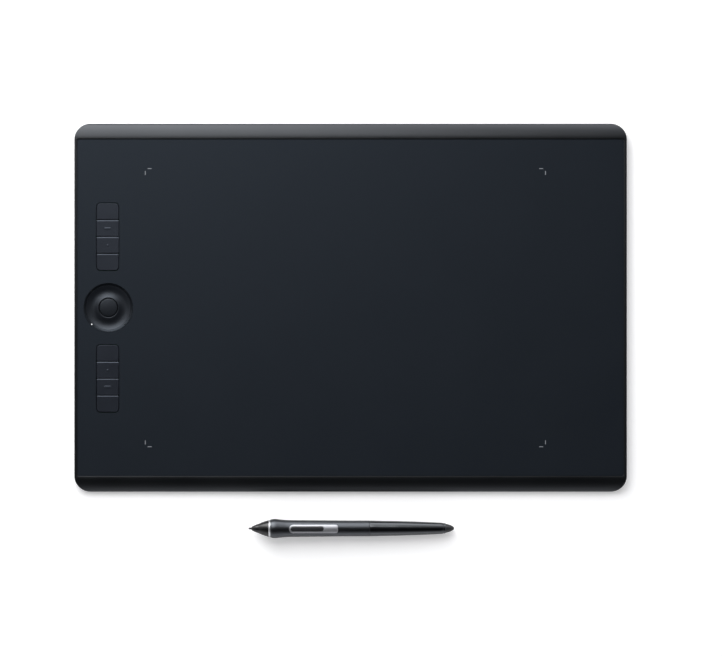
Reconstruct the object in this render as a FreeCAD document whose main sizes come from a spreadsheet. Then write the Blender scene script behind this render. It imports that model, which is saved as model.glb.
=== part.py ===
# A pen tablet for drawing, with its pen lying in front of it.
# The frame has +X to the right, +Y to the rear and +Z up, in millimetres.
# The origin is on the desk, under the centre of the tablet and pen together.
import FreeCAD, Part
import math
import os
import Sketcher
from FreeCAD import Placement, Rotation, Vector

# Driving sizes, in millimetres and degrees, each in one cell of the sheet
SIZES = {
    # The active area, which the pen draws on, and the casing round it
    "active_length": 311.0,
    "active_width": 216.0,
    "left_margin": 55.5,
    "right_margin": 63.5,
    "edge_margin": 35.5,
    "casing_corner": 12.5,
    # The casing in section: a rolled edge front and rear
    "casing_top": 8.0,
    "foot_height": 0.8,
    "band_width": 12.5,
    "lip_flat": 1.0,
    "nose_radius": 2.5,
    "nose_height": 2.6,
    "edge_softening": 0.8,
    "side_wall": 3.0,
    "edge_wall": 6.5,
    "cavity_corner": 8.0,
    # The drawing sheet, let into the casing
    "side_margin": 2.2,
    "sheet_corner": 1.5,
    "sheet_drop": 0.35,
    "sheet_thickness": 0.4,
    "sheet_gap": 0.15,
    "adhesive_thickness": 0.1,
    "adhesive_inset": 1.0,
    "deck_thickness": 1.1,
    # The back cover, its feet and its screws
    "cover_thickness": 1.0,
    "cover_side_rim": 1.8,
    "cover_edge_rim": 4.0,
    "cover_corner": 10.0,
    "cover_gap": 0.1,
    "foot_radius": 6.0,
    "foot_recess": 0.2,
    "foot_clearance": 0.1,
    "foot_inset_x": 16.0,
    "foot_inset_y": 18.5,
    "boss_radius": 3.2,
    "screw_head_radius": 1.7,
    "screw_head_height": 0.4,
    "screw_shank_radius": 0.8,
    "screw_shank_length": 3.2,
    "screw_clearance": 0.06,
    # The sensing stack under the deck
    "sensor_margin": 6.0,
    "film_thickness": 0.2,
    "sensor_thickness": 0.8,
    "shield_thickness": 0.3,
    "shield_inset": 7.0,
    "rib_gap": 0.4,
    "rib_thickness": 1.2,
    "grid_rib": 1.6,
    # The battery
    "battery_gap": 3.0,
    "battery_thickness": 2.2,
    "pad_thickness": 0.3,
    "lead_width": 2.4,
    "lead_thickness": 0.9,
    "plug_length": 6.0,
    "plug_width": 5.0,
    "plug_height": 1.2,
    # The row of keys
    "key_inset": 26.0,
    "block_start": 29.05,
    "board_overhang": 6.3,
    "key_width": 17.0,
    "key_split": 0.25,
    "key_gap": 0.3,
    "key_bevel": 0.75,
    "key_fall": 0.42,
    "key_corner": 2.9,
    "key_drop": 0.15,
    "flange_reach": 0.8,
    "flange_thickness": 0.6,
    "flange_clearance": 0.1,
    "nub_width": 3.0,
    "mark_height": 0.3,
    "dash_length": 5.4,
    "dash_width": 1.6,
    "dot_radius": 0.8,
    # The dished ring and its button
    "ring_inset": 26.5,
    "dish_inner": 7.9,
    "dish_outer": 17.35,
    "dish_depth": 1.1,
    "dish_slope": 2.3,
    "ring_bore": 7.5,
    "ring_floor": 0.6,
    "ring_flange": 21.0,
    "bezel_gap": 0.1,
    "opening_radius": 19.2,
    "window_radius": 0.5,
    "window_place": 18.3,
    "button_gap": 0.25,
    "button_edge": 6.85,
    "button_crown": 0.35,
    "electrode_thickness": 0.2,
    # The boards behind the keys
    "board_thickness": 0.8,
    "board_drop": 1.85,
    "key_board_width": 24.0,
    "key_board_length": 175.0,
    "dome_radius": 2.5,
    "dome_height": 0.5,
    "dome_clearance": 0.02,
    "post_radius": 1.8,
    "post_inset": 1.7,
    "main_board_inset": 5.5,
    "main_board_rear": 9.5,
    "main_board_length": 39.5,
    "board_spacing": 2.5,
    "flex_thickness": 0.15,
    "sensor_flex_width": 10.0,
    "touch_flex_width": 5.0,
    "flex_inset": 1.0,
    # The socket, the power button and the touch switch
    "socket_rear": 30.5,
    "socket_width": 8.94,
    "socket_height": 3.26,
    "socket_depth": 7.3,
    "socket_wall": 0.3,
    "socket_setback": 0.5,
    "tongue_width": 6.7,
    "tongue_thickness": 0.7,
    "port_gap": 0.35,
    "power_spacing": 16.0,
    "power_width": 8.0,
    "power_height": 1.4,
    "power_gap": 0.15,
    "power_travel": 0.3,
    "switch_spacing": 17.0,
    "switch_travel": 3.0,
    "knob_width": 3.0,
    "knob_height": 1.1,
    "knob_setback": 0.3,
    "switch_body_width": 9.0,
    "switch_body_depth": 3.6,
    "antenna_inset": 54.0,
    "antenna_length": 28.0,
    "antenna_width": 8.0,
    # The pen, along its own axis from the tip
    "pen_gap": 20.85,
    "pen_tip_x": -79.4,
    "pen_diameter": 15.0,
    "pen_length": 160.0,
    "nib_radius": 0.8,
    "nib_exposed": 2.3,
    "nib_gap": 0.2,
    "nib_end": 21.8,
    "nib_travel": 0.4,
    "nose_tip_radius": 1.4,
    "nose_end": 15.6,
    "nose_end_radius": 6.45,
    "nose_shoulder": 8.4,
    "nose_shoulder_radius": 4.05,
    "ring_end": 16.9,
    "grip_front_radius": 6.9,
    "grip_peak": 20.2,
    "grip_crest": 0.12,
    "grip_shoulder": 26.0,
    "grip_shoulder_radius": 7.0,
    "grip_waist": 32.3,
    "grip_waist_radius": 6.55,
    "grip_slim": 80.0,
    "grip_end": 94.5,
    "grip_end_radius": 6.15,
    "grip_bore": 4.4,
    "barrel_first": 14.0,
    "barrel_first_radius": 5.83,
    "barrel_second": 34.0,
    "barrel_second_radius": 5.3,
    "barrel_bore": 3.4,
    "tail_length": 8.4,
    "collar_length": 1.8,
    "collar_radius": 4.3,
    "collar_end_radius": 4.1,
    "collar_wall": 0.5,
    "collar_floor": 0.4,
    "collar_spigot": 4.0,
    "eraser_gap": 0.12,
    "eraser_travel": 0.5,
    "eraser_stem": 1.5,
    "eraser_shoulder": 4.6,
    "eraser_shoulder_radius": 3.05,
    "eraser_crown": 1.7,
    "eraser_crown_radius": 2.1,
    "eraser_tip_radius": 1.1,
    # The side switch of the pen
    "bezel_start": 31.5,
    "bezel_end": 69.5,
    "bezel_width": 6.6,
    "bezel_rear_corner": 1.8,
    "bezel_proud": 0.2,
    "bezel_depth": 0.9,
    "rocker_start": 32.9,
    "rocker_end": 58.3,
    "rocker_width": 3.6,
    "rocker_gap": 0.2,
    "rocker_proud": 0.35,
    "rocker_pivot": 45.6,
    "pivot_height": 4.6,
    "pin_radius": 0.5,
    "lug_thickness": 0.8,
    "leg_inset": 4.0,
    "leg_clearance": 0.5,
    "pen_dome_height": 0.6,
    "pen_board_width": 6.0,
    "pen_board_thickness": 0.8,
    "pen_fit": 0.1,
}


class Size:
    """A length as a number, with the sheet formula that gives it."""

    def __init__(self, value, text):
        self.value = value
        self.text = text

    def __add__(self, other):
        other = as_size(other)
        return Size(self.value + other.value, f"({self.text} + {other.text})")

    def __radd__(self, other):
        return as_size(other) + self

    def __sub__(self, other):
        other = as_size(other)
        return Size(self.value - other.value, f"({self.text} - {other.text})")

    def __rsub__(self, other):
        return as_size(other) - self

    def __mul__(self, other):
        other = as_size(other)
        return Size(self.value * other.value, f"({self.text} * {other.text})")

    def __rmul__(self, other):
        return self * other

    def __truediv__(self, other):
        other = as_size(other)
        return Size(self.value / other.value, f"({self.text} / {other.text})")

    def __neg__(self):
        return 0 - self


def as_size(number):
    return number if isinstance(number, Size) else Size(float(number), f"{number}")


def square_root(size):
    return Size(math.sqrt(size.value), f"sqrt({size.text})")


doc = FreeCAD.newDocument("tablet")
sheet = doc.addObject("Spreadsheet::Sheet", "Sizes")
for row, (alias, number) in enumerate(SIZES.items(), 1):
    sheet.set(f"A{row}", alias)
    sheet.set(f"B{row}", str(number))
    sheet.setAlias(f"B{row}", alias)
doc.recompute()


def size(alias):
    return Size(SIZES[alias], f"Sizes.{alias}")


ZERO = as_size(0)
NODES = []


# Helpers that draw, pad, cut and turn, each bound to the sheet
def bind(item, path, length):
    item.setExpression(path, as_size(length).text)


def new_body(node):
    """Start the body of one piece of the tablet, whose frame is the tablet's centre on the desk."""
    body = doc.addObject("PartDesign::Body", node)
    body.Label = node
    body.AllowCompound = True
    bind(body, "Placement.Base.y", tablet_y)
    NODES.append(body)
    return body


def new_pen_body(node):
    """Start the body of one piece of the pen, drawn along X from the tip."""
    body = doc.addObject("PartDesign::Body", node)
    body.Label = node
    body.AllowCompound = True
    body.setExpression("Placement", "pen_line.Placement")
    NODES.append(body)
    return body


def new_sketch(body, plane, offset=ZERO):
    """Attach a sketch to one of the body's own planes, moved along the plane's normal."""
    sketch = body.newObject("Sketcher::SketchObject", "sketch")
    origin_plane = [item for item in body.Origin.OriginFeatures if item.Role == plane][0]
    sketch.AttachmentSupport = [(origin_plane, "")]
    sketch.MapMode = "FlatFace"
    bind(sketch, "AttachmentOffset.Base.z", offset)
    return sketch


def fix_numbers(sketch, joints, numbers):
    """Add a shape's joints and driving constraints in one go, and bind the numbers to the sheet."""
    driving = [Sketcher.Constraint(kind, *places, length.value) for kind, places, length in numbers]
    first = len(sketch.Constraints) + len(joints)
    sketch.addConstraint(joints + driving)
    for index, (_, _, length) in enumerate(numbers, first):
        bind(sketch, f"Constraints[{index}]", length)


def draw_circle(sketch, x, y, radius):
    x, y, radius = as_size(x), as_size(y), as_size(radius)
    centre = Vector(x.value, y.value, 0)
    circle = sketch.addGeometry(Part.Circle(centre, Vector(0, 0, 1), radius.value), False)
    fix_numbers(sketch, [], [
        ("DistanceX", (-1, 1, circle, 3), x), ("DistanceY", (-1, 1, circle, 3), y),
        ("Radius", (circle,), radius),
    ])


def arc_between(start, end, radius):
    """An arc of under half a turn. A positive radius turns left, a negative one turns right."""
    chord = end - start
    reach = max(radius * radius - chord.Length * chord.Length / 4, 0)
    side = Vector(-chord.y, chord.x, 0).normalize() * math.copysign(math.sqrt(reach), radius)
    centre = (start + end) * 0.5 + side
    first, last = (start, end) if radius > 0 else (end, start)
    angles = [math.atan2(point.y - centre.y, point.x - centre.x) for point in (first, last)]
    circle = Part.Circle(centre, Vector(0, 0, 1), abs(radius))
    return Part.ArcOfCircle(circle, angles[0], angles[1])


def arc_hold(edge, start, end, corner, radius):
    """What fixes an arc between two set ends: its radius, or for a half turn its centre."""
    chord = end - start
    if chord.Length < 1.999 * abs(radius.value):
        return ("Radius", (edge,), radius if radius.value > 0 else -radius)
    if abs(chord.x) < abs(chord.y):
        return ("DistanceX", (-1, 1, edge, 3), corner[0])
    return ("DistanceY", (-1, 1, edge, 3), corner[1])


def draw_outline(sketch, steps):
    """Draw a closed outline. A step is a corner (x, y), or (x, y, radius) where an arc leaves it."""
    corners = [(as_size(step[0]), as_size(step[1])) for step in steps]
    ends, edges, radii = [], [], []
    first_edge = sketch.GeometryCount
    for number, step in enumerate(steps):
        start = Vector(corners[number][0].value, corners[number][1].value, 0)
        following = corners[(number + 1) % len(steps)]
        end = Vector(following[0].value, following[1].value, 0)
        if len(step) == 3:
            radius = as_size(step[2])
            edges.append(arc_between(start, end, radius.value))
            radii.append(arc_hold(first_edge + number, start, end, corners[number], radius))
            ends.append((first_edge + number, 1, 2) if radius.value > 0
                        else (first_edge + number, 2, 1))
        else:
            edges.append(Part.LineSegment(start, end))
            ends.append((first_edge + number, 1, 2))
    sketch.addGeometry(edges, False)
    joints, places = [], []
    for number, (edge, start, end) in enumerate(ends):
        following, its_start, _ = ends[(number + 1) % len(ends)]
        joints.append(Sketcher.Constraint("Coincident", edge, end, following, its_start))
        places.append(("DistanceX", (-1, 1, edge, start), corners[number][0]))
        places.append(("DistanceY", (-1, 1, edge, start), corners[number][1]))
    fix_numbers(sketch, joints, places + radii)


def draw_rectangle(sketch, x, y, length, width, corner=None):
    """Draw a rectangle about a centre, with rounded corners where a radius is given."""
    left, right = x - length / 2, x + length / 2
    front, rear = y - width / 2, y + width / 2
    if corner is None:
        draw_outline(sketch, [(left, front), (right, front), (right, rear), (left, rear)])
        return
    draw_outline(sketch, [
        (left + corner, front), (right - corner, front, corner),
        (right, front + corner), (right, rear - corner, corner),
        (right - corner, rear), (left + corner, rear, corner),
        (left, rear - corner), (left, front + corner, corner),
    ])


def draw_hexagon(sketch, x, y, radius):
    """Draw a six-sided bar's section, whose corners lie on the radius."""
    tall = radius * 0.866
    draw_outline(sketch, [
        (x + radius, y), (x + radius / 2, y + tall), (x - radius / 2, y + tall),
        (x - radius, y), (x - radius / 2, y - tall), (x + radius / 2, y - tall),
    ])


def draw_slot(sketch, x, y, length, width):
    """Draw a round-ended slot that lies along the sketch's X."""
    half, radius = length / 2 - width / 2, width / 2
    draw_outline(sketch, [
        (x - half, y - radius), (x + half, y - radius, radius),
        (x + half, y + radius), (x - half, y + radius, radius),
    ])


def settle(body, feature):
    """Recompute after a feature is set up, and stop where it or its sketch failed."""
    doc.recompute()
    if "Invalid" in feature.State or body.Shape.isNull() or not body.Shape.isValid():
        raise RuntimeError(f"{body.Label}: {feature.Name} failed")
    return feature


def pad(body, sketch, length, symmetric=False, downward=False):
    feature = body.newObject("PartDesign::Pad", "pad")
    feature.Profile = (sketch, [""])
    feature.Midplane = symmetric
    feature.Reversed = downward
    bind(feature, "Length", length)
    return settle(body, feature)


def pocket(body, sketch, depth, upward=False):
    """Cut against the sketch's normal, or along it where upward is set, and test that it cut."""
    before = body.Shape.Volume
    feature = body.newObject("PartDesign::Pocket", "pocket")
    feature.Profile = (sketch, [""])
    feature.Reversed = upward
    bind(feature, "Length", depth)
    settle(body, feature)
    if body.Shape.Volume > before - 1e-4:
        raise RuntimeError(f"{body.Label}: {feature.Name} cuts nothing")
    return feature


def repeat(body, feature, sketch, axis, reach, count):
    """Copy a feature along one of its sketch's axes, evenly over the reach."""
    pattern = body.newObject("PartDesign::LinearPattern", "pattern")
    pattern.Originals = [feature]
    pattern.Direction = (sketch, [axis])
    bind(pattern, "Length", reach)
    pattern.Occurrences = count
    body.Tip = pattern
    return settle(body, pattern)


def revolve(body, sketch, axis, angle=360, symmetric=False):
    feature = body.newObject("PartDesign::Revolution", "turn")
    feature.Profile = (sketch, [""])
    feature.ReferenceAxis = (sketch, [axis])
    feature.Angle = angle
    feature.Midplane = symmetric
    return settle(body, feature)


def edge_names(body, chosen):
    """The edges of the last feature that the test picks out, by name."""
    edges = enumerate(body.Tip.Shape.Edges, 1)
    return [f"Edge{number}" for number, edge in edges if chosen(edge)]


def soften(body, radius, chosen):
    base, names = body.Tip, edge_names(body, chosen)
    feature = body.newObject("PartDesign::Fillet", "fillet")
    feature.Base = (base, names)
    bind(feature, "Radius", radius)
    return settle(body, feature)


def bevel(body, width, chosen):
    base, names = body.Tip, edge_names(body, chosen)
    feature = body.newObject("PartDesign::Chamfer", "chamfer")
    feature.Base = (base, names)
    bind(feature, "Size", width)
    return settle(body, feature)


# Places worked out from the driving sizes
casing_length = size("left_margin") + size("active_length") + size("right_margin")
casing_width = size("active_width") + 2 * size("edge_margin")
half_length = casing_length / 2
half_width = casing_width / 2
tablet_y = (size("pen_gap") + size("pen_diameter")) / 2
pen_y = -(half_width + size("pen_gap") + size("pen_diameter") / 2 - tablet_y)
top = size("casing_top")
bottom = size("foot_height")
sheet_top = top - size("sheet_drop")
adhesive_top = sheet_top - size("sheet_thickness")
deck_top = adhesive_top - size("adhesive_thickness")
deck_under = deck_top - size("deck_thickness")
recess_half_x = half_length - size("side_margin")
recess_half_y = half_width - size("band_width")
cavity_half_x = half_length - size("side_wall")
cavity_half_y = half_width - size("edge_wall")
cover_top = bottom + size("cover_thickness")
cover_half_x = half_length - size("cover_side_rim")
cover_half_y = half_width - size("cover_edge_rim")
board_top = deck_under - size("board_drop")
board_under = board_top - size("board_thickness")
foot_top = bottom + size("foot_recess")
sensor_x = size("left_margin") + size("active_length") / 2 - half_length
sensor_length = size("active_length") + 2 * size("sensor_margin")
sensor_width = size("active_width") + 2 * size("sensor_margin")
sensor_left = sensor_x - sensor_length / 2
block_end = size("key_board_length") / 2 - size("board_overhang")
block_length = block_end - size("block_start")
block_y = (block_end + size("block_start")) / 2
key_pitch = (block_length + size("key_split")) / 4
key_x = size("key_inset") - half_length
ring_x = size("ring_inset") - half_length
main_left = size("main_board_inset") - half_length
main_right = main_left + size("main_board_length")
main_rear = half_width - size("main_board_rear")
main_front = size("key_board_length") / 2 + size("board_spacing")
socket_y = half_width - size("socket_rear")
power_y = socket_y - size("power_spacing")
switch_y = power_y - size("switch_spacing")
foot_x = half_length - size("foot_inset_x")
foot_y = half_width - size("foot_inset_y")

FEET = [(across * foot_x, along * foot_y) for across in (-1, 0, 1) for along in (-1, 1)]
post_gap = size("post_radius") + size("post_inset")
end_post_y = size("key_board_length") / 2 - post_gap + 0.6
ring_post_y = (size("ring_flange") + size("block_start")) / 2
ring_post_x = size("key_board_width") / 2 - post_gap + size("post_radius")
KEY_POSTS = [(key_x, side * end_post_y) for side in (-1, 1)]
KEY_POSTS += [(key_x - side * ring_post_x, side * ring_post_y) for side in (-1, 1)]
plug_x = main_right - post_gap - size("post_radius") - size("plug_width")
MAIN_POSTS = [(plug_x - size("plug_width") / 2 - post_gap, main_front + post_gap),
              (main_right - post_gap, main_rear - post_gap)]


# Top frame: the moulded casing, with its rolled edges, deck, openings, bosses and posts
def edge_profile():
    """The casing's section: a flat lip, a roll, a nose and a tucked-under edge, front and rear."""
    nose = size("nose_radius")
    nose_y = half_width - nose
    lip_y = recess_half_y + size("lip_flat")
    across = nose_y - lip_y
    down = top - size("nose_height")
    roll = (across * across + down * down - nose * nose) / (2 * (down - nose))
    reach = roll / (roll - nose)
    join_y = lip_y + across * reach
    join_z = top - roll + (roll - down) * reach
    tuck = size("nose_height") - bottom
    return [
        (-half_width + tuck, bottom), (half_width - tuck, bottom, tuck),
        (half_width, size("nose_height"), nose), (join_y, join_z, roll),
        (lip_y, top), (-lip_y, top, roll),
        (-join_y, join_z, nose), (-half_width, size("nose_height"), tuck),
    ]


def key_openings(sketch, gap):
    for row in (-1, 1):
        draw_rectangle(sketch, key_x, row * block_y, size("key_width") + 2 * gap,
                       block_length + 2 * gap, size("key_corner") + gap)


def make_top_frame():
    body = new_body("top_frame")
    section = new_sketch(body, "YZ_Plane")
    draw_outline(section, edge_profile())
    pad(body, section, casing_length, symmetric=True)

    def is_end_rim(edge):
        box = edge.BoundBox
        return box.XLength < 1e-3 and abs(abs(box.XMin) - half_length.value) < 1e-3

    bevel(body, size("edge_softening"), is_end_rim)

    corners = new_sketch(body, "XY_Plane", top + 1)
    draw_rectangle(corners, ZERO, ZERO, casing_length + 20, casing_width + 20)
    draw_rectangle(corners, ZERO, ZERO, casing_length, casing_width, size("casing_corner"))
    pocket(body, corners, top + 2)

    recess = new_sketch(body, "XY_Plane", top)
    draw_rectangle(recess, ZERO, ZERO, 2 * recess_half_x, 2 * recess_half_y, size("sheet_corner"))
    pocket(body, recess, top - deck_top)

    cavity = new_sketch(body, "XY_Plane", bottom)
    draw_rectangle(cavity, ZERO, ZERO, 2 * cavity_half_x, 2 * cavity_half_y,
                   size("cavity_corner"))
    pocket(body, cavity, deck_under - bottom, upward=True)

    rebate = new_sketch(body, "XY_Plane", bottom)
    draw_rectangle(rebate, ZERO, ZERO, 2 * cover_half_x, 2 * cover_half_y, size("cover_corner"))
    pocket(body, rebate, size("cover_thickness"), upward=True)

    openings = new_sketch(body, "XY_Plane", top)
    key_openings(openings, size("key_gap"))
    draw_circle(openings, ring_x, ZERO, size("opening_radius"))
    pocket(body, openings, top - cover_top)

    bosses = new_sketch(body, "XY_Plane", deck_under)
    for x, y in FEET:
        draw_hexagon(bosses, x, y, size("boss_radius"))
        draw_circle(bosses, x, y, size("screw_shank_radius") + size("screw_clearance"))
    pad(body, bosses, deck_under - cover_top, downward=True)

    posts = new_sketch(body, "XY_Plane", deck_under)
    for x, y in KEY_POSTS + MAIN_POSTS:
        draw_hexagon(posts, x, y, size("post_radius"))
        draw_circle(posts, x, y, size("screw_shank_radius") + size("screw_clearance"))
    pad(body, posts, size("board_drop"), downward=True)

    rib = new_sketch(body, "XY_Plane", deck_under)
    inner_x, inner_y = sensor_length / 2 + size("rib_gap"), sensor_width / 2 + size("rib_gap")
    wide = size("rib_thickness")
    for row in (-1, 1):
        draw_rectangle(rib, sensor_x, row * (inner_y + wide / 2), 2 * inner_x - 8 * wide, wide)
    draw_rectangle(rib, sensor_x + inner_x + wide / 2, ZERO, wide, 2 * inner_y - 8 * wide)
    draw_rectangle(rib, sensor_x - inner_x - wide / 2, -inner_y / 4, wide, inner_y * 1.4)
    pad(body, rib, size("film_thickness") + size("sensor_thickness"), downward=True)

    port = new_sketch(body, "YZ_Plane", -cavity_half_x + 1)
    draw_slot(port, socket_y, socket_z, size("socket_width") + 2 * size("port_gap"),
              size("socket_height") + 2 * size("port_gap"))
    draw_slot(port, power_y, power_z, size("power_width") + 2 * size("power_gap"),
              size("power_height") + 2 * size("power_gap"))
    draw_rectangle(port, switch_y, knob_z,
                   size("knob_width") + size("switch_travel") + 2 * size("power_gap"),
                   size("knob_height") + 2 * size("power_gap"))
    pocket(body, port, size("side_wall") + 3)
    return body


# Heights of the socket, the power button and the touch switch on the main board
socket_z = board_top - size("board_thickness") / 2
power_z = deck_under - size("power_height") / 2 - size("power_gap") - 0.2
knob_z = board_top + size("knob_height") / 2 + 0.1

make_top_frame()


# Back cover: a thin plate in the frame's rebate, with seats for the feet and screws under them
def make_back_cover():
    body = new_body("back_cover")
    gap = size("cover_gap")
    plate = new_sketch(body, "XY_Plane", bottom)
    draw_rectangle(plate, ZERO, ZERO, 2 * (cover_half_x - gap), 2 * (cover_half_y - gap),
                   size("cover_corner") - gap)
    pad(body, plate, size("cover_thickness"))
    seats = new_sketch(body, "XY_Plane", bottom)
    for x, y in FEET:
        draw_circle(seats, x, y, size("foot_radius") + size("foot_clearance"))
    pocket(body, seats, size("foot_recess"), upward=True)
    sinks = new_sketch(body, "XY_Plane", foot_top)
    for x, y in FEET:
        draw_circle(sinks, x, y, size("screw_head_radius") + size("screw_clearance"))
    pocket(body, sinks, size("screw_head_height"), upward=True)
    holes = new_sketch(body, "XY_Plane", foot_top)
    for x, y in FEET:
        draw_circle(holes, x, y, size("screw_shank_radius") + size("screw_clearance"))
    pocket(body, holes, size("cover_thickness"), upward=True)
    return body


make_back_cover()


# Rubber feet, stuck in their recesses over the case screws
def make_feet():
    body = new_body("rubber_feet")
    discs = new_sketch(body, "XY_Plane", ZERO)
    for x, y in FEET:
        draw_circle(discs, x, y, size("foot_radius"))
    pad(body, discs, foot_top)
    return body


make_feet()


def make_screws(node, places, head_base, shank_length):
    """A set of cheese-head screws that point up: a head, then a shank."""
    body = new_body(node)
    heads = new_sketch(body, "XY_Plane", head_base)
    for x, y in places:
        draw_circle(heads, x, y, size("screw_head_radius"))
    pad(body, heads, size("screw_head_height"))
    shanks = new_sketch(body, "XY_Plane", head_base + size("screw_head_height"))
    for x, y in places:
        draw_hexagon(shanks, x, y, size("screw_shank_radius"))
    pad(body, shanks, shank_length)
    return body


make_screws("case_screws", FEET, foot_top, size("screw_shank_length"))
make_screws("board_screws", KEY_POSTS + MAIN_POSTS, board_under - size("screw_head_height"),
            size("board_thickness") + size("board_drop") * 0.7)


# Drawing sheet and the adhesive film under it, both open over the keys and the ring
def make_sheet():
    body = new_body("surface_sheet")
    outline = new_sketch(body, "XY_Plane", adhesive_top)
    gap = size("sheet_gap")
    draw_rectangle(outline, ZERO, ZERO, 2 * (recess_half_x - gap), 2 * (recess_half_y - gap),
                   size("sheet_corner"))
    key_openings(outline, size("key_gap"))
    draw_circle(outline, ring_x, ZERO, size("opening_radius"))
    pad(body, outline, size("sheet_thickness"))
    adhesive = new_body("sheet_adhesive")
    outline = new_sketch(adhesive, "XY_Plane", deck_top)
    inset = size("adhesive_inset")
    draw_rectangle(outline, ZERO, ZERO, 2 * (recess_half_x - inset), 2 * (recess_half_y - inset))
    for row in (-1, 1):
        draw_rectangle(outline, key_x, row * block_y, size("key_width") + 2 * inset,
                       block_length + 2 * inset)
    draw_circle(outline, ring_x, ZERO, size("opening_radius") + inset)
    pad(adhesive, outline, size("adhesive_thickness"))
    return body


make_sheet()


# Sensing stack: touch film, sensor board and shield plate, then the grid that backs them
def make_plate(node, x, y, length, width, base, thickness, corner=None):
    body = new_body(node)
    outline = new_sketch(body, "XY_Plane", base)
    draw_rectangle(outline, as_size(x), as_size(y), length, width, corner)
    pad(body, outline, thickness)
    return body


film_under = deck_under - size("film_thickness")
sensor_under = film_under - size("sensor_thickness")
shield_under = sensor_under - size("shield_thickness")
shield_length = sensor_length - 2 * size("shield_inset")
shield_width = sensor_width - 2 * size("shield_inset")
make_plate("touch_film", sensor_x, ZERO, sensor_length, sensor_width, film_under,
           size("film_thickness"))
make_plate("sensor_board", sensor_x, ZERO, sensor_length, sensor_width, sensor_under,
           size("sensor_thickness"))
make_plate("shield_plate", sensor_x, ZERO, shield_length, shield_width, shield_under,
           size("shield_thickness"))


GRID_COLUMNS, GRID_ROWS = 8, 6
cell_length = shield_length / GRID_COLUMNS
cell_width = shield_width / GRID_ROWS
battery_x = sensor_x - shield_length / 2 + cell_length
battery_length = 2 * (cell_length - size("battery_gap")) - size("grid_rib")
battery_width = 2 * (cell_width - size("battery_gap")) - size("grid_rib")


def make_support_grid():
    """A moulded grid of ribs between the cover and the shield, with a bay for the battery."""
    body = new_body("support_grid")
    rib, tall = size("grid_rib"), shield_under - cover_top
    left, front = sensor_x - shield_length / 2, -shield_width / 2
    border = new_sketch(body, "XY_Plane", cover_top)
    draw_rectangle(border, sensor_x, ZERO, shield_length, shield_width)
    draw_rectangle(border, sensor_x, ZERO, shield_length - 2 * rib, shield_width - 2 * rib)
    pad(body, border, tall)
    cross = new_sketch(body, "XY_Plane", cover_top)
    draw_rectangle(cross, left + cell_length, ZERO, rib, shield_width - rib)
    first = pad(body, cross, tall)
    repeat(body, first, cross, "H_Axis", cell_length * (GRID_COLUMNS - 2), GRID_COLUMNS - 1)
    along = new_sketch(body, "XY_Plane", cover_top)
    draw_rectangle(along, sensor_x, front + cell_width, shield_length - rib, rib)
    first = pad(body, along, tall)
    repeat(body, first, along, "V_Axis", cell_width * (GRID_ROWS - 2), GRID_ROWS - 1)
    bay = new_sketch(body, "XY_Plane", shield_under)
    draw_rectangle(bay, battery_x, ZERO, 2 * cell_length - rib, 2 * cell_width - rib)
    pocket(body, bay, tall)
    notch = new_sketch(body, "XY_Plane", shield_under)
    draw_rectangle(notch, left, lead_y, 4 * rib, size("lead_width") + 0.6)
    pocket(body, notch, tall)
    return body


lead_y = cell_width * 0.6
make_support_grid()


# Battery on its foam pad, with a flat lead to the main board
def make_battery():
    make_plate("battery_pad", battery_x, ZERO, battery_length - 8, battery_width - 8, cover_top,
               size("pad_thickness"))
    make_plate("battery", battery_x, ZERO, battery_length, battery_width,
               cover_top + size("pad_thickness"), size("battery_thickness"))
    lead = new_body("battery_lead")
    wide = size("lead_width")
    start = battery_x - battery_length / 2
    path = new_sketch(lead, "XY_Plane", board_under - size("lead_thickness") - 0.1)
    draw_outline(path, [
        (start, lead_y - wide / 2), (start, lead_y + wide / 2),
        (plug_x + wide * 1.5, lead_y + wide / 2, -wide),
        (plug_x + wide / 2, lead_y + wide * 1.5), (plug_x + wide / 2, plug_y),
        (plug_x - wide / 2, plug_y), (plug_x - wide / 2, lead_y + wide * 1.5, wide * 2),
        (plug_x + wide * 1.5, lead_y - wide / 2),
    ])
    pad(lead, path, size("lead_thickness"))
    make_plate("battery_plug", plug_x, plug_y + size("plug_length") / 2, size("plug_width"),
               size("plug_length"), board_under - size("plug_height"), size("plug_height"))


plug_y = main_front + size("plug_length")
make_battery()


# Keys: two blocks of four, with bevelled joints, a flange under the deck and a raised mark
key_top = sheet_top - size("key_drop")
flange_top = deck_under - size("flange_clearance")
flange_base = flange_top - size("flange_thickness")
dome_top = board_top + size("dome_height")
key_length = key_pitch - size("key_split")
MARKS = {("upper", 2): "dash", ("upper", 3): "dot", ("lower", 2): "dot", ("lower", 3): "dash"}


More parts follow.
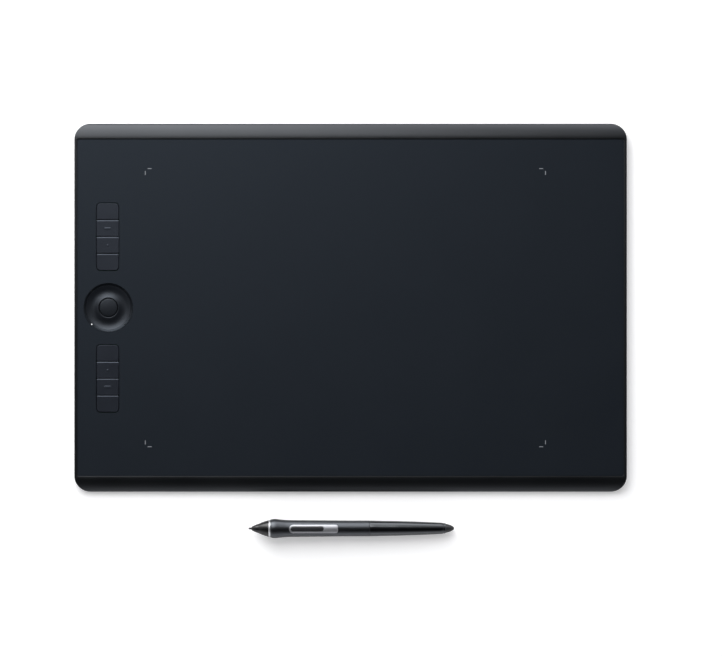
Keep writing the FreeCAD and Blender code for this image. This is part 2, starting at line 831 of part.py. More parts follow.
def make_key(block, number):
    """One key cap. Key 1 of a block is at the rear, and the end keys have rounded corners."""
    body = new_body(f"{block}_key_{number}")
    side = 1 if block == "upper" else -1
    middle = side * block_y + key_pitch * (2.5 - number)
    half, bevel, fall = key_length / 2, size("key_bevel"), size("key_fall")
    rear_end, front_end = number == 1, number == 4
    outline = [(middle - half, flange_top), (middle + half, flange_top)]
    if rear_end:
        outline += [(middle + half, key_top)]
    else:
        outline += [(middle + half, key_top - fall), (middle + half - bevel, key_top)]
    if front_end:
        outline += [(middle - half, key_top)]
    else:
        outline += [(middle - half + bevel, key_top), (middle - half, key_top - fall)]
    section = new_sketch(body, "YZ_Plane", key_x)
    draw_outline(section, outline)
    pad(body, section, size("key_width"), symmetric=True)

    if rear_end or front_end:
        end_y = (middle + half if rear_end else middle - half).value

        def is_corner(edge):
            box = edge.BoundBox
            return (box.XLength < 1e-3 and box.YLength < 1e-3
                    and abs(box.YMin - end_y) < 1e-3)

        soften(body, size("key_corner"), is_corner)

    flange = new_sketch(body, "XY_Plane", flange_top)
    draw_rectangle(flange, key_x, middle, size("key_width") + 2 * size("flange_reach"),
                   key_length - 1)
    pad(body, flange, size("flange_thickness"), downward=True)
    nub = new_sketch(body, "XY_Plane", flange_base)
    draw_rectangle(nub, key_x, middle, size("nub_width"), size("nub_width"))
    pad(body, nub, flange_base - dome_top - size("dome_clearance"), downward=True)

    mark = MARKS.get((block, number))
    if mark:
        raised = new_sketch(body, "XY_Plane", key_top)
        if mark == "dash":
            draw_slot(raised, key_x, middle, size("dash_length"), size("dash_width"))
        else:
            draw_circle(raised, key_x, middle, size("dot_radius"))
        pad(body, raised, size("mark_height"))
    return body


for block in ("upper", "lower"):
    for number in (1, 2, 3, 4):
        make_key(block, number)


# Dished ring for a fingertip, its black rim with four windows, and the button in its middle
def make_touch_ring():
    body = new_body("touch_ring")
    inner, outer = size("dish_inner"), size("dish_outer")
    slope, depth, middle = size("dish_slope"), size("dish_depth") * 0.8, (inner + outer) / 2
    flat, low = slope / 3, key_top - size("dish_depth")
    section = new_sketch(body, "XZ_Plane")
    draw_outline(section, [
        (size("ring_bore"), deck_under - size("ring_floor")),
        (size("ring_flange"), deck_under - size("ring_floor")),
        (size("ring_flange"), deck_under), (outer, deck_under), (outer, key_top),
        (outer - slope, key_top - depth), (middle + flat, low), (middle - flat, low),
        (inner + slope, key_top - depth), (inner, key_top), (size("ring_bore"), key_top),
    ])
    bind(body, "Placement.Base.x", ring_x)
    revolve(body, section, "V_Axis")
    holes = new_sketch(body, "XY_Plane", deck_under)
    for x, y in WINDOWS:
        draw_circle(holes, x, y, size("window_radius") + size("bezel_gap"))
    pocket(body, holes, size("ring_floor"))
    return body


diagonal = size("window_place") * 0.7071
WINDOWS = [(across * diagonal, along * diagonal) for across in (-1, 1) for along in (-1, 1)]
make_touch_ring()


def make_ring_trim():
    """The flat black rim round the dish, the windows in it, and the lamps under them."""
    rim = new_body("ring_bezel")
    bind(rim, "Placement.Base.x", ring_x)
    outline = new_sketch(rim, "XY_Plane", deck_under)
    draw_circle(outline, ZERO, ZERO, size("opening_radius") - size("bezel_gap"))
    draw_circle(outline, ZERO, ZERO, size("dish_outer") + size("bezel_gap"))
    for x, y in WINDOWS:
        draw_circle(outline, x, y, size("window_radius"))
    pad(rim, outline, sheet_top - deck_under - 0.05)
    pipes = new_body("light_pipes")
    bind(pipes, "Placement.Base.x", ring_x)
    circles = new_sketch(pipes, "XY_Plane", lamp_top)
    for x, y in WINDOWS:
        draw_circle(circles, x, y, size("window_radius"))
    pad(pipes, circles, sheet_top - lamp_top - 0.05)
    lamps = new_body("status_leds")
    bind(lamps, "Placement.Base.x", ring_x)
    squares = new_sketch(lamps, "XY_Plane", board_top)
    for x, y in WINDOWS:
        draw_rectangle(squares, x, y, as_size(1.6), as_size(0.8))
    pad(lamps, squares, lamp_top - board_top)
    return rim


lamp_top = board_top + 0.6
make_ring_trim()


def make_ring_button():
    body = new_body("ring_button")
    bind(body, "Placement.Base.x", ring_x)
    radius = size("ring_bore") - size("button_gap")
    edge, crown = size("button_edge"), size("button_crown")
    under = deck_under - size("ring_floor") - size("electrode_thickness") - 0.1
    flange = size("dish_inner") + 0.3
    section = new_sketch(body, "XZ_Plane")
    draw_outline(section, [
        (ZERO, dome_top + size("dome_clearance")),
        (flange, dome_top + size("dome_clearance")), (flange, under), (radius, under),
        (radius, edge), (radius * 0.8, edge + crown * 0.6), (radius * 0.45, edge + crown),
        (ZERO, edge + crown),
    ])
    revolve(body, section, "V_Axis")
    electrode = new_body("ring_electrode")
    bind(electrode, "Placement.Base.x", ring_x)
    film = new_sketch(electrode, "XY_Plane", deck_under - size("ring_floor"))
    draw_circle(film, ZERO, ZERO, size("dish_outer") - 1)
    draw_circle(film, ZERO, ZERO, size("dish_inner") + 0.2)
    pad(electrode, film, size("electrode_thickness"), downward=True)
    return body


make_ring_button()


# Key board with its domes, hung from the deck's posts under the keys and the ring
def make_boards():
    board = new_body("key_board")
    outline = new_sketch(board, "XY_Plane", board_under)
    draw_rectangle(outline, key_x, ZERO, size("key_board_width"), size("key_board_length"))
    for x, y in KEY_POSTS:
        draw_circle(outline, x, y, size("screw_shank_radius") + 2 * size("screw_clearance"))
    pad(board, outline, size("board_thickness"))

    main = new_body("main_board")
    outline = new_sketch(main, "XY_Plane", board_under)
    notch = size("socket_width") / 2 + 0.3
    notch_x = socket_front + size("socket_depth") + 0.3
    strip_right = key_x - size("key_board_width") / 2 - 1
    strip_front = switch_y - size("switch_body_width") / 2 - 2
    draw_outline(outline, [
        (main_left, strip_front), (strip_right, strip_front), (strip_right, main_front),
        (main_right, main_front), (main_right, main_rear),
        (main_left, main_rear), (main_left, socket_y + notch), (notch_x, socket_y + notch),
        (notch_x, socket_y - notch), (main_left, socket_y - notch),
    ])
    for x, y in MAIN_POSTS:
        draw_circle(outline, x, y, size("screw_shank_radius") + 2 * size("screw_clearance"))
    draw_circle(outline, -foot_x, foot_y, size("boss_radius") + 0.6)
    pad(main, outline, size("board_thickness"))

    chips = new_body("main_board_chips")
    squares = new_sketch(chips, "XY_Plane", board_top)
    middle_x, middle_y = (main_left + main_right) / 2, (main_front + main_rear) / 2
    for across, along, length, width in CHIPS:
        draw_rectangle(squares, middle_x + across, middle_y + along, as_size(length),
                       as_size(width))
    pad(chips, squares, as_size(0.9))
    return board


# Each chip's place from the middle of the main board, then its length and width
CHIPS = ((6, -6.5, 7, 7), (7, 4, 5, 5), (-4, -4, 4, 3))
socket_front = -half_length + size("socket_setback")
make_boards()


def make_domes():
    """Nine snap domes, one under each key and one under the ring's button."""
    body = new_body("key_domes")
    places = [(key_x, side * block_y + key_pitch * (2.5 - number))
              for side in (-1, 1) for number in (1, 2, 3, 4)] + [(ring_x, ZERO)]
    discs = new_sketch(body, "XY_Plane", board_top)
    for x, y in places:
        draw_hexagon(discs, x, y, size("dome_radius"))
    feature = pad(body, discs, size("dome_height"))
    feature.TaperAngle = -40
    doc.recompute()
    return body


make_domes()


# Flat cables from the sensor board, the touch film and the key board to the main board
def make_flexes():
    thin = size("flex_thickness")
    sensor = new_body("sensor_flex")
    touch_y = sensor_width / 2 - size("flex_inset") - size("touch_flex_width") / 2
    flex_y = touch_y - size("touch_flex_width") / 2 - 1 - size("sensor_flex_width") / 2
    section = new_sketch(sensor, "XZ_Plane", -flex_y)
    draw_outline(section, [
        (main_right - 4, board_top), (main_right - 4, sensor_under),
        (sensor_left + size("shield_inset") / 2, sensor_under),
        (sensor_left + size("shield_inset") / 2, sensor_under - thin),
        (main_right - 1, sensor_under - thin), (main_right - 1, board_top),
    ])
    pad(sensor, section, size("sensor_flex_width"), symmetric=True)
    touch = new_body("touch_flex")
    tail = new_sketch(touch, "XZ_Plane", -touch_y)
    draw_outline(tail, [
        (main_right - 4, board_top), (main_right - 4, deck_under), (sensor_left, deck_under),
        (sensor_left, deck_under - thin), (main_right - 1, deck_under - thin),
        (main_right - 1, board_top),
    ])
    pad(touch, tail, size("touch_flex_width"), symmetric=True)
    strip = new_body("key_flex")
    outline = new_sketch(strip, "XY_Plane", board_top)
    gap_front, gap_rear = size("key_board_length") / 2 - 2, main_front + 2
    draw_rectangle(outline, key_x - 6, (gap_front + gap_rear) / 2, as_size(5),
                   gap_rear - gap_front)
    pad(strip, outline, thin)
    return sensor


make_flexes()


# Socket for the charging lead, with the tongue inside it
def make_socket():
    body = new_body("usb_socket")
    y, wall = socket_y, size("socket_wall")
    shell = new_sketch(body, "YZ_Plane", socket_front)
    draw_slot(shell, y, socket_z, size("socket_width"), size("socket_height"))
    pad(body, shell, size("socket_depth"))
    mouth = new_sketch(body, "YZ_Plane", socket_front + size("socket_depth") - 1)
    draw_slot(mouth, y, socket_z, size("socket_width") - 2 * wall,
              size("socket_height") - 2 * wall)
    pocket(body, mouth, size("socket_depth"))
    tongue = new_sketch(body, "YZ_Plane", socket_front + 0.8)
    draw_rectangle(tongue, y, socket_z, size("tongue_width"), size("tongue_thickness"))
    pad(body, tongue, size("socket_depth") - 1.2)
    return body


make_socket()


# Power button in the left wall, with the side-acting switch behind it
def make_power_button():
    body = new_body("power_button")
    y, z = power_y, power_z
    inner = -cavity_half_x
    face = new_sketch(body, "YZ_Plane", -half_length + 0.1)
    draw_slot(face, y, z, size("power_width"), size("power_height"))
    pad(body, face, size("side_wall") + 0.2)
    flange = new_sketch(body, "YZ_Plane", inner + 0.15)
    draw_rectangle(flange, y, z, size("power_width") + 2, size("power_height"))
    pad(body, flange, as_size(0.6))
    nub = new_sketch(body, "YZ_Plane", inner + 0.75)
    draw_rectangle(nub, y, z, as_size(2), as_size(1))
    pad(body, nub, as_size(0.8))
    switch = new_body("power_switch")
    block = new_sketch(switch, "YZ_Plane", inner + 1.6 + size("power_travel"))
    draw_rectangle(block, y, (board_top + deck_under) / 2 - 0.1, as_size(4.6),
                   size("board_drop") - 0.2)
    pad(switch, block, as_size(2.4))
    return body


make_power_button()


# Touch switch in the left wall: a fixed body on the board's strip and a knob that slides
def make_touch_switch():
    body = new_body("touch_switch_body")
    outer, depth = 0.4 - cavity_half_x, size("switch_body_depth")
    block = new_sketch(body, "XY_Plane", board_top)
    draw_rectangle(block, outer + depth / 2, switch_y, depth, size("switch_body_width"))
    pad(body, block, size("knob_height") + 0.4)
    track = new_sketch(body, "YZ_Plane", outer + depth / 2)
    draw_rectangle(track, switch_y, knob_z, size("knob_width") + size("switch_travel") + 0.4,
                   size("knob_height") + 0.2)
    pocket(body, track, depth / 2 + 0.2)
    knob = new_body("touch_switch")
    face = new_sketch(knob, "YZ_Plane", outer + depth / 2 - 0.2)
    draw_rectangle(face, switch_y - size("switch_travel") / 2, knob_z, size("knob_width"),
                   size("knob_height"))
    pad(knob, face, outer + depth / 2 - 0.2 + half_length - size("knob_setback"), downward=True)
    return body


make_touch_switch()


# Antenna strip, stuck under the deck beside the main board
antenna_x = sensor_left + size("antenna_inset") + size("antenna_length") / 2
make_plate("wireless_antenna", antenna_x, cavity_half_y - size("antenna_width"),
           size("antenna_length"), size("antenna_width"), deck_under - size("film_thickness"),
           size("film_thickness"))


# Pen: it rests on its grip's bulge and on the end of the grip, so it lies slightly tail down
pen_radius = size("pen_diameter") / 2
pen_line = doc.addObject("Part::Feature", "pen_line")
rise = (pen_radius - size("grip_end_radius")) / (size("grip_end") - size("grip_peak"))
hypotenuse = square_root(1 + rise * rise)
tip_height = (pen_radius + rise * size("grip_peak")) / hypotenuse
pen_line.Placement = Placement(Vector(0, 0, 0), Rotation(Vector(0, 1, 0), 1))
pen_line.setExpression("Placement.Rotation.Angle", f"atan({rise.text})")
bind(pen_line, "Placement.Base.x", size("pen_tip_x"))
bind(pen_line, "Placement.Base.y", pen_y)
bind(pen_line, "Placement.Base.z", tip_height)
doc.recompute()

nib_radius = size("nib_radius")
nose_bore = nib_radius + size("nib_gap")
grip_bore = size("grip_bore")


def turned(node, steps):
    """A piece of the pen turned about its axis, from its section above the axis."""
    body = new_pen_body(node)
    section = new_sketch(body, "XZ_Plane")
    draw_outline(section, steps)
    revolve(body, section, "H_Axis")
    return body


def make_pen_front():
    turned("pen_nib", [
        (ZERO, ZERO, -nib_radius), (nib_radius, nib_radius), (size("nib_end"), nib_radius),
        (size("nib_end"), ZERO),
    ])
    turned("pen_nose", [
        (size("nib_exposed"), nose_bore), (size("nib_exposed"), size("nose_tip_radius")),
        (size("nose_shoulder"), size("nose_shoulder_radius")),
        (size("nose_end"), size("nose_end_radius")), (size("nose_end"), grip_bore),
        (cone_end, grip_bore - 1), (cone_end, nose_bore),
    ])
    ring = size("pen_fit")
    turned("pen_ring", [
        (size("nose_end"), grip_bore), (size("nose_end"), size("nose_end_radius") + ring),
        (size("ring_end"), size("grip_front_radius") + ring), (size("ring_end"), grip_bore),
    ])


cone_end = size("nose_end") - 4.5
make_pen_front()


def make_grip():
    """The rubber grip: a bulge behind the ring, a waist, and a slim rear, open for the switch."""
    peak, crest = size("grip_peak"), pen_radius - size("grip_crest")
    body = turned("pen_grip", [
        (size("ring_end"), grip_bore), (size("ring_end"), size("grip_front_radius")),
        ((size("ring_end") + peak) / 2, crest), (peak, pen_radius),
        ((2 * peak + size("grip_shoulder")) / 3, crest),
        (size("grip_shoulder"), size("grip_shoulder_radius")),
        (size("grip_waist") - (size("grip_waist") - size("grip_shoulder")) / 2,
         (size("grip_shoulder_radius") + 2 * size("grip_waist_radius")) / 3),
        (size("grip_waist"), size("grip_waist_radius")),
        (size("grip_slim"), size("grip_end_radius")),
        (size("grip_end"), size("grip_end_radius")), (size("grip_end"), grip_bore),
    ])
    window = new_sketch(body, "XY_Plane", pen_radius)
    draw_bezel_outline(window, size("pen_fit"))
    pocket(body, window, pen_radius - 1)
    return body


def draw_bezel_outline(sketch, gap):
    """The plate's outline seen from above: a round front end and a squarer rear end."""
    start, end = size("bezel_start") - gap, size("bezel_end") + gap
    half = size("bezel_width") / 2 + gap
    corner = size("bezel_rear_corner") + gap
    draw_outline(sketch, [
        (start + half, -half), (end - corner, -half, corner), (end, -half + corner),
        (end, half - corner, corner), (end - corner, half), (start + half, half, half),
    ])


make_grip()


def skin_radius(x):
    """The grip's radius over the long slope that the side switch lies in."""
    slope = (size("grip_waist_radius") - size("grip_end_radius")) / (
        size("grip_slim") - size("grip_waist"))
    return size("grip_waist_radius") - (x - size("grip_waist")) * slope


def strip_sector(body, start, end, proud, depth):
    """A band of the grip's skin, as a sector over its upper side."""
    section = new_sketch(body, "XZ_Plane")
    draw_outline(section, [
        (start, skin_radius(start) - depth), (start, skin_radius(start) + proud),
        (end, skin_radius(end) + proud), (end, skin_radius(end) - depth),
    ])
    revolve(body, section, "H_Axis", angle=110, symmetric=True)


def make_side_switch():
    bezel = new_pen_body("switch_bezel")
    strip_sector(bezel, size("bezel_start") - 1, size("bezel_end") + 1, size("bezel_proud"),
                 size("bezel_depth"))
    around = new_sketch(bezel, "XY_Plane", pen_radius)
    draw_rectangle(around, size("grip_end") / 2, ZERO, size("grip_end") * 1.2, 4 * pen_radius)
    draw_bezel_outline(around, ZERO)
    pocket(bezel, around, pen_radius)
    middle = (size("rocker_start") + size("rocker_end")) / 2
    length = size("rocker_end") - size("rocker_start")
    opening = new_sketch(bezel, "XY_Plane", pen_radius)
    draw_slot(opening, middle, ZERO, length + 2 * size("rocker_gap"),
              size("rocker_width") + 2 * size("rocker_gap"))
    pocket(bezel, opening, pen_radius)
    lug = size("lug_thickness")
    lug_y = size("rocker_width") / 2 + size("rocker_gap") + lug / 2
    lugs = new_sketch(bezel, "XY_Plane", size("pivot_height") - 1.1)
    for side in (-1, 1):
        draw_rectangle(lugs, size("rocker_pivot"), side * lug_y, as_size(2.6), lug)
    pad(bezel, lugs, as_size(2.0))
    bore = new_sketch(bezel, "XZ_Plane", -4)
    draw_circle(bore, size("rocker_pivot"), size("pivot_height"),
                size("pin_radius") + size("screw_clearance"))
    pocket(bezel, bore, as_size(8), upward=True)

    rocker = new_pen_body("side_switch")
    strip_sector(rocker, size("rocker_start") - 1, size("rocker_end") + 1, size("rocker_proud"),
                 skin_radius(size("rocker_pivot")) - size("pivot_height") + 1)
    outside = new_sketch(rocker, "XY_Plane", pen_radius)
    draw_rectangle(outside, size("grip_end") / 2, ZERO, size("grip_end") * 1.2, 4 * pen_radius)
    draw_slot(outside, middle, ZERO, length, size("rocker_width"))
    pocket(rocker, outside, pen_radius)
    legs = new_sketch(rocker, "XY_Plane", size("pivot_height") - 0.5)
    for side in (-1, 1):
        draw_circle(legs, size("rocker_pivot") + side * leg_reach, ZERO, as_size(0.7))
    pad(rocker, legs, size("pivot_height") - 0.5 - pen_dome_top - size("leg_clearance"),
        downward=True)
    bore = new_sketch(rocker, "XZ_Plane", -4)
    draw_circle(bore, size("rocker_pivot"), size("pivot_height"),
                size("pin_radius") + size("screw_clearance"))
    pocket(rocker, bore, as_size(8), upward=True)

    pin = new_pen_body("rocker_pin")
    round_bar = new_sketch(pin, "XZ_Plane")
    draw_circle(round_bar, size("rocker_pivot"), size("pivot_height"), size("pin_radius"))
    pad(pin, round_bar, 2 * (lug_y + lug / 2), symmetric=True)


leg_reach = (size("rocker_end") - size("rocker_start")) / 2 - size("leg_inset")
pen_board_top = size("pen_board_thickness") - 0.5
pen_dome_top = pen_board_top + size("pen_dome_height")
make_side_switch()


# Pen rear: the glossier barrel, its collar and the eraser
def make_pen_rear():
    fit, bore = size("pen_fit"), size("barrel_bore")
    turned("pen_barrel", [
        (size("grip_end"), bore), (size("grip_end"), size("grip_end_radius")),
        (size("grip_end") + size("barrel_first"), size("barrel_first_radius")),
        (size("grip_end") + size("barrel_second"), size("barrel_second_radius")),
        (collar_start - fit, size("collar_radius")), (collar_start - fit, bore),
    ])
    head = size("collar_end_radius") - size("collar_wall")
    stem = size("eraser_stem")
    spigot, floor = collar_start - size("collar_spigot"), collar_start + size("collar_floor")
    turned("eraser_collar", [
        (spigot, stem + fit), (spigot, bore - fit / 2), (collar_start, bore - fit / 2),
        (collar_start, size("collar_radius") - fit), (collar_end, size("collar_end_radius")),
        (collar_end, head), (floor, head), (floor, stem + fit),
    ])
    end = size("pen_length")
    start = floor + size("eraser_travel") + fit
    waist = head - size("eraser_gap")
    turned("pen_eraser", [
        (spigot - 1, ZERO), (spigot - 1, stem), (start, stem), (start, waist),
        (collar_end + size("eraser_travel"), waist),
        (end - size("eraser_shoulder"), size("eraser_shoulder_radius")),
        (end - size("eraser_crown"), size("eraser_crown_radius")),
        (end - size("eraser_crown") / 3, size("eraser_tip_radius")), (end, ZERO),
    ])


collar_start = size("pen_length") - size("tail_length")
collar_end = collar_start + size("collar_length")
make_pen_rear()


# Inside the pen: the carrier, its board and domes, the coil and the pressure sensor
def make_pen_inside():
    fit = size("pen_fit")
    outer, slim = grip_bore - fit, size("barrel_bore") - fit
    front = size("nib_end") - 0.6
    cell = size("nib_end") + size("nib_travel")
    cell_end = size("bezel_start")
    tail = collar_start - size("collar_spigot") - size("eraser_travel") - 1.5
    body = turned("pen_core", [
        (front, nose_bore), (front, outer), (size("grip_end") - fit, outer),
        (size("grip_end") - fit, slim), (tail, slim), (tail, ZERO), (cell_end, ZERO),
        (cell_end, as_size(2.6)), (cell, as_size(2.6)), (cell, nose_bore),
    ])
    trough = new_sketch(body, "XY_Plane", pen_radius)
    draw_rectangle(trough, (cell_end + tail) / 2 + 1, ZERO, tail - cell_end + 2, 4 * pen_radius)
    pocket(body, trough, pen_radius + 0.5)
    turned("pressure_sensor", [
        (cell + fit, ZERO), (cell + fit, as_size(2.5)), (cell_end - fit, as_size(2.5)),
        (cell_end - fit, ZERO),
    ])
    turned("pen_coil", [
        (cone_end + 1, nose_bore + 0.3), (cone_end + 1, as_size(3.3)), (front - fit, as_size(3.3)),
        (front - fit, nose_bore + 0.3),
    ])
    board = new_pen_body("pen_board")
    outline = new_sketch(board, "XY_Plane", as_size(-0.5))
    board_length = size("grip_end") - cell_end - 4
    draw_rectangle(outline, cell_end + 2 + board_length / 2, ZERO, board_length,
                   size("pen_board_width"))
    pad(board, outline, size("pen_board_thickness"))
    domes = new_pen_body("pen_switch_domes")
    discs = new_sketch(domes, "XY_Plane", pen_board_top)
    for side in (-1, 1):
        draw_circle(discs, size("rocker_pivot") + side * leg_reach, ZERO, as_size(1.6))
    pad(domes, discs, size("pen_dome_height"))


make_pen_inside()


# Check every object and every shape, then write one file for each piece
doc.recompute()
faults = [item.Label for item in doc.Objects if "Invalid" in item.State or "Error" in item.State]
for body in NODES:
    if body.Shape.isNull() or not body.Shape.isValid():
        faults.append(body.Label)
if faults:
    raise RuntimeError("These objects failed: " + ", ".join(faults))
os.makedirs("parts", exist_ok=True)
for body in NODES:
    body.Shape.exportStep(f"parts/{body.Label}.step")
print(len(NODES), "parts written")
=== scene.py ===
import math

import bmesh
import bpy
from mathutils import Matrix, Vector


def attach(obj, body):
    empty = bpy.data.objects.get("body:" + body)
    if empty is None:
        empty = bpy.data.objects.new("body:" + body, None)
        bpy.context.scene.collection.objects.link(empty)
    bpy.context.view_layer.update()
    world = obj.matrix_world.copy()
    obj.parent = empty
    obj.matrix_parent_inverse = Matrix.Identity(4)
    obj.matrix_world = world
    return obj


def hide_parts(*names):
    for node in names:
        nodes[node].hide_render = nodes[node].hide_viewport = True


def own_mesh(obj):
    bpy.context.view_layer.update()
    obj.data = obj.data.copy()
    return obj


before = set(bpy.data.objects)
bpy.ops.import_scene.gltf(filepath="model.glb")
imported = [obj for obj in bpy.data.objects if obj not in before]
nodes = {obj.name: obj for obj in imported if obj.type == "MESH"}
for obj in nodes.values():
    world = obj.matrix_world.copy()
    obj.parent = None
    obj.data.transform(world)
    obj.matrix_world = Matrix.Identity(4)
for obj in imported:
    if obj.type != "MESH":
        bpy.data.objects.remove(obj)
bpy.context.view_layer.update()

MM = 0.001

# --------------------
# Photo table: a white floor in a dim room with a bright rear half, one soft panel to the rear
# left, and a long lens straight above. Tablet and pen together lie round the origin.
FLOOR_REACH, FLOOR_WHITE, FLOOR_LIFT = 6.0, 0.93, 0.3
ROOM_WALLS = [(0.0, 1.6), (0.25, 1.1), (0.5, 0.55), (0.65, 0.22), (0.8, 0.03), (0.93, 0.0)]
ROOM_REAR = [(0.0, 0.0), (0.1, 0.07), (0.3, 0.25), (0.6, 0.6), (0.85, 1.7), (1.0, 2.4)]
ROOM_BLUE = 1.03
REAR_DIRECTION = (-0.22, 0.975, 0)
PANEL_PLACE, PANEL_AIM = (-0.36, 0.7, 0.66), (-0.05, 0, 0)
PANEL_WIDTH, PANEL_HEIGHT, PANEL_POWER = 0.8, 1.2, 11
MM_PER_PIXEL, IMAGE_WIDTH, IMAGE_HEIGHT = 0.7781, 722, 656
TABLET_PIXEL = (350.6, 307.65)
LENS_HEIGHT, SENSOR_WIDTH = 2.4, 36
SHEET_LEVEL, TABLET_MIDDLE = 0.00765, 0.017925
scene = bpy.context.scene
scene.view_settings.view_transform = "Standard"


def tone(red, green, blue):
    """A screen colour from 0 to 255, as the linear colour that a shader takes."""
    parts = [value / 255 for value in (red, green, blue)]
    return tuple(v / 12.92 if v < 0.04045 else ((v + 0.055) / 1.055) ** 2.4 for v in parts) + (1,)


def add_node(tree, kind, inputs=None, **settings):
    """A new node in a tree. Each of its inputs is given a value, or the output that feeds it."""
    node = tree.nodes.new(kind)
    for label, value in settings.items():
        setattr(node, label, value)
    for label, value in (inputs or {}).items():
        if isinstance(value, bpy.types.NodeSocket):
            tree.links.new(value, node.inputs[label])
        else:
            node.inputs[label].default_value = value
    return node


def put(name, data):
    """A new object in the scene for a mesh, a curve, a lamp or a camera."""
    item = bpy.data.objects.new(name, data)
    scene.collection.objects.link(item)
    return item


def white_floor():
    """A wide floor of white paper, lifted a little for the camera alone."""
    material = bpy.data.materials.new("floor_paper")
    material.use_nodes = True
    tree = material.node_tree
    shader = tree.nodes["Principled BSDF"]
    shader.inputs["Base Color"].default_value = (FLOOR_WHITE, FLOOR_WHITE, FLOOR_WHITE, 1)
    shader.inputs["Roughness"].default_value = 0.9
    shader.inputs["Specular IOR Level"].default_value = 0.1
    path = add_node(tree, "ShaderNodeLightPath")
    lift = add_node(tree, "ShaderNodeMath", {0: path.outputs["Is Camera Ray"], 1: FLOOR_LIFT},
                    operation="MULTIPLY")
    glow = add_node(tree, "ShaderNodeEmission",
                    {"Color": (1, 1, 1, 1), "Strength": lift.outputs[0]})
    both = add_node(tree, "ShaderNodeAddShader", {0: shader.outputs[0], 1: glow.outputs[0]})
    tree.links.new(both.outputs[0], tree.nodes["Material Output"].inputs["Surface"])
    mesh = bpy.data.meshes.new("floor")
    corners = ((-1, -1), (1, -1), (1, 1), (-1, 1))
    mesh.from_pydata([(x * FLOOR_REACH, y * FLOOR_REACH, 0) for x, y in corners],
                     [], [(0, 1, 2, 3)])
    mesh.materials.append(material)
    floor = put("floor", mesh)


def studio_sky():
    """The dim room above the table: light by height, and more light towards the rear.
    The camera sees it white."""
    world = bpy.data.worlds.new("studio")
    scene.world = world
    world.use_nodes = True
    tree = world.node_tree
    place = add_node(tree, "ShaderNodeTexCoord")
    split = add_node(tree, "ShaderNodeSeparateXYZ", {0: place.outputs["Generated"]})
    turned = add_node(tree, "ShaderNodeVectorMath",
                      {0: place.outputs["Generated"], 1: REAR_DIRECTION}, operation="DOT_PRODUCT")
    ramp = add_node(tree, "ShaderNodeValToRGB", {0: split.outputs["Z"]})
    rear = add_node(tree, "ShaderNodeValToRGB", {0: turned.outputs["Value"]})
    for shade, stops in ((ramp, ROOM_WALLS), (rear, ROOM_REAR)):
        while len(shade.color_ramp.elements) < len(stops):
            shade.color_ramp.elements.new(0.5)
        for stop, (share, level) in zip(shade.color_ramp.elements, stops):
            stop.position = share
            stop.color = (level, level, level * ROOM_BLUE, 1)
    room = add_node(tree, "ShaderNodeMix",
                    {"Factor": 1.0, "A": ramp.outputs[0], "B": rear.outputs[0]},
                    data_type="RGBA", blend_type="ADD")
    path = add_node(tree, "ShaderNodeLightPath")
    white = add_node(tree, "ShaderNodeMix",
                     {"Factor": path.outputs["Is Camera Ray"], "A": room.outputs["Result"],
                      "B": (1, 1, 1, 1)}, data_type="RGBA")
    background = tree.nodes["Background"]
    background.inputs["Strength"].default_value = 1.0
    tree.links.new(white.outputs["Result"], background.inputs["Color"])


def soft_panel(name, place, aim, width, height, power):
    """A rectangular area lamp that faces its aim."""
    light = bpy.data.lights.new(name, "AREA")
    light.shape = "RECTANGLE"
    light.size = width
    light.size_y = height
    light.energy = power
    lamp = put(name, light)
    lamp.location = place
    lamp.rotation_euler = (Vector(aim) - Vector(place)).to_track_quat("-Z", "Y").to_euler()


white_floor()
studio_sky()
soft_panel("rear_panel", PANEL_PLACE, PANEL_AIM, PANEL_WIDTH, PANEL_HEIGHT, PANEL_POWER)

# The lens shows 0.778 mm to the pixel on the sheet, with the tablet a little above the middle
camera_data = bpy.data.cameras.new("camera")
camera_data.sensor_width = SENSOR_WIDTH
camera_data.lens = (SENSOR_WIDTH * (LENS_HEIGHT - SHEET_LEVEL)
                    / (IMAGE_WIDTH * MM_PER_PIXEL * MM))
camera = put("camera", camera_data)
camera.location = ((IMAGE_WIDTH / 2 - TABLET_PIXEL[0]) * MM_PER_PIXEL * MM,
                   TABLET_MIDDLE - (IMAGE_HEIGHT / 2 - TABLET_PIXEL[1]) * MM_PER_PIXEL * MM,
                   LENS_HEIGHT)
scene.camera = camera


# --------------------
# Casing: one moulding of glass-filled plastic with a satin black coat. Its front and rear
# edges roll over to a soft nose, and its top is let down for the drawing sheet.
TABLET_Y = 17.925
HALF_X, HALF_Y, PLAN_CORNER = 215.0, 143.5, 12.5
RECESS_X, RECESS_Y, RECESS_CORNER = 212.8, 131.0, 1.5
CASING_TOP, CASING_FOOT, NOSE_HEIGHT, NOSE_RADIUS = 8.0, 0.8, 2.6, 2.5
DECK_TOP, DECK_UNDER, COVER_TOP = 7.15, 6.05, 1.8
LIP_DROP, LIP_WIDTH, LIP_FLAT, RIM_RADIUS = 0.14, 1.2, 1.0, 0.8
LIP_PLACES, ROLL_STEPS, NOSE_STEPS, TUCK_STEPS = (0.1, 0.25, 0.45, 0.7), 14, 8, 6
FOOT_EDGE, CAVITY_EDGE = (213.2, 139.5, 10.0), (212.0, 137.0, 8.0)
KEY_X, KEY_BLOCK_Y, KEY_GAP = -189.0, 55.125, 0.6
KEY_HALF_X, BLOCK_HALF_Y, BLOCK_CORNER = 8.5, 26.075, 2.9
RING_X, RING_OPENING = -188.5, 19.2
CUT_TOP, WALL_CUT = 9, (-217, -209)
SOCKET_PORT, POWER_PORT = (113.0, 3.8, 9.64, 3.96), (97.0, 5.0, 8.3, 1.7)
SWITCH_Y, SWITCH_Z, SWITCH_HALF_Y, SWITCH_HALF_Z, SWITCH_CORNER = 80.0, 4.85, 3.15, 0.7, 0.2
BOSS_X, BOSS_Y, BOSS_RADIUS = 199.0, 125.0, 3.2
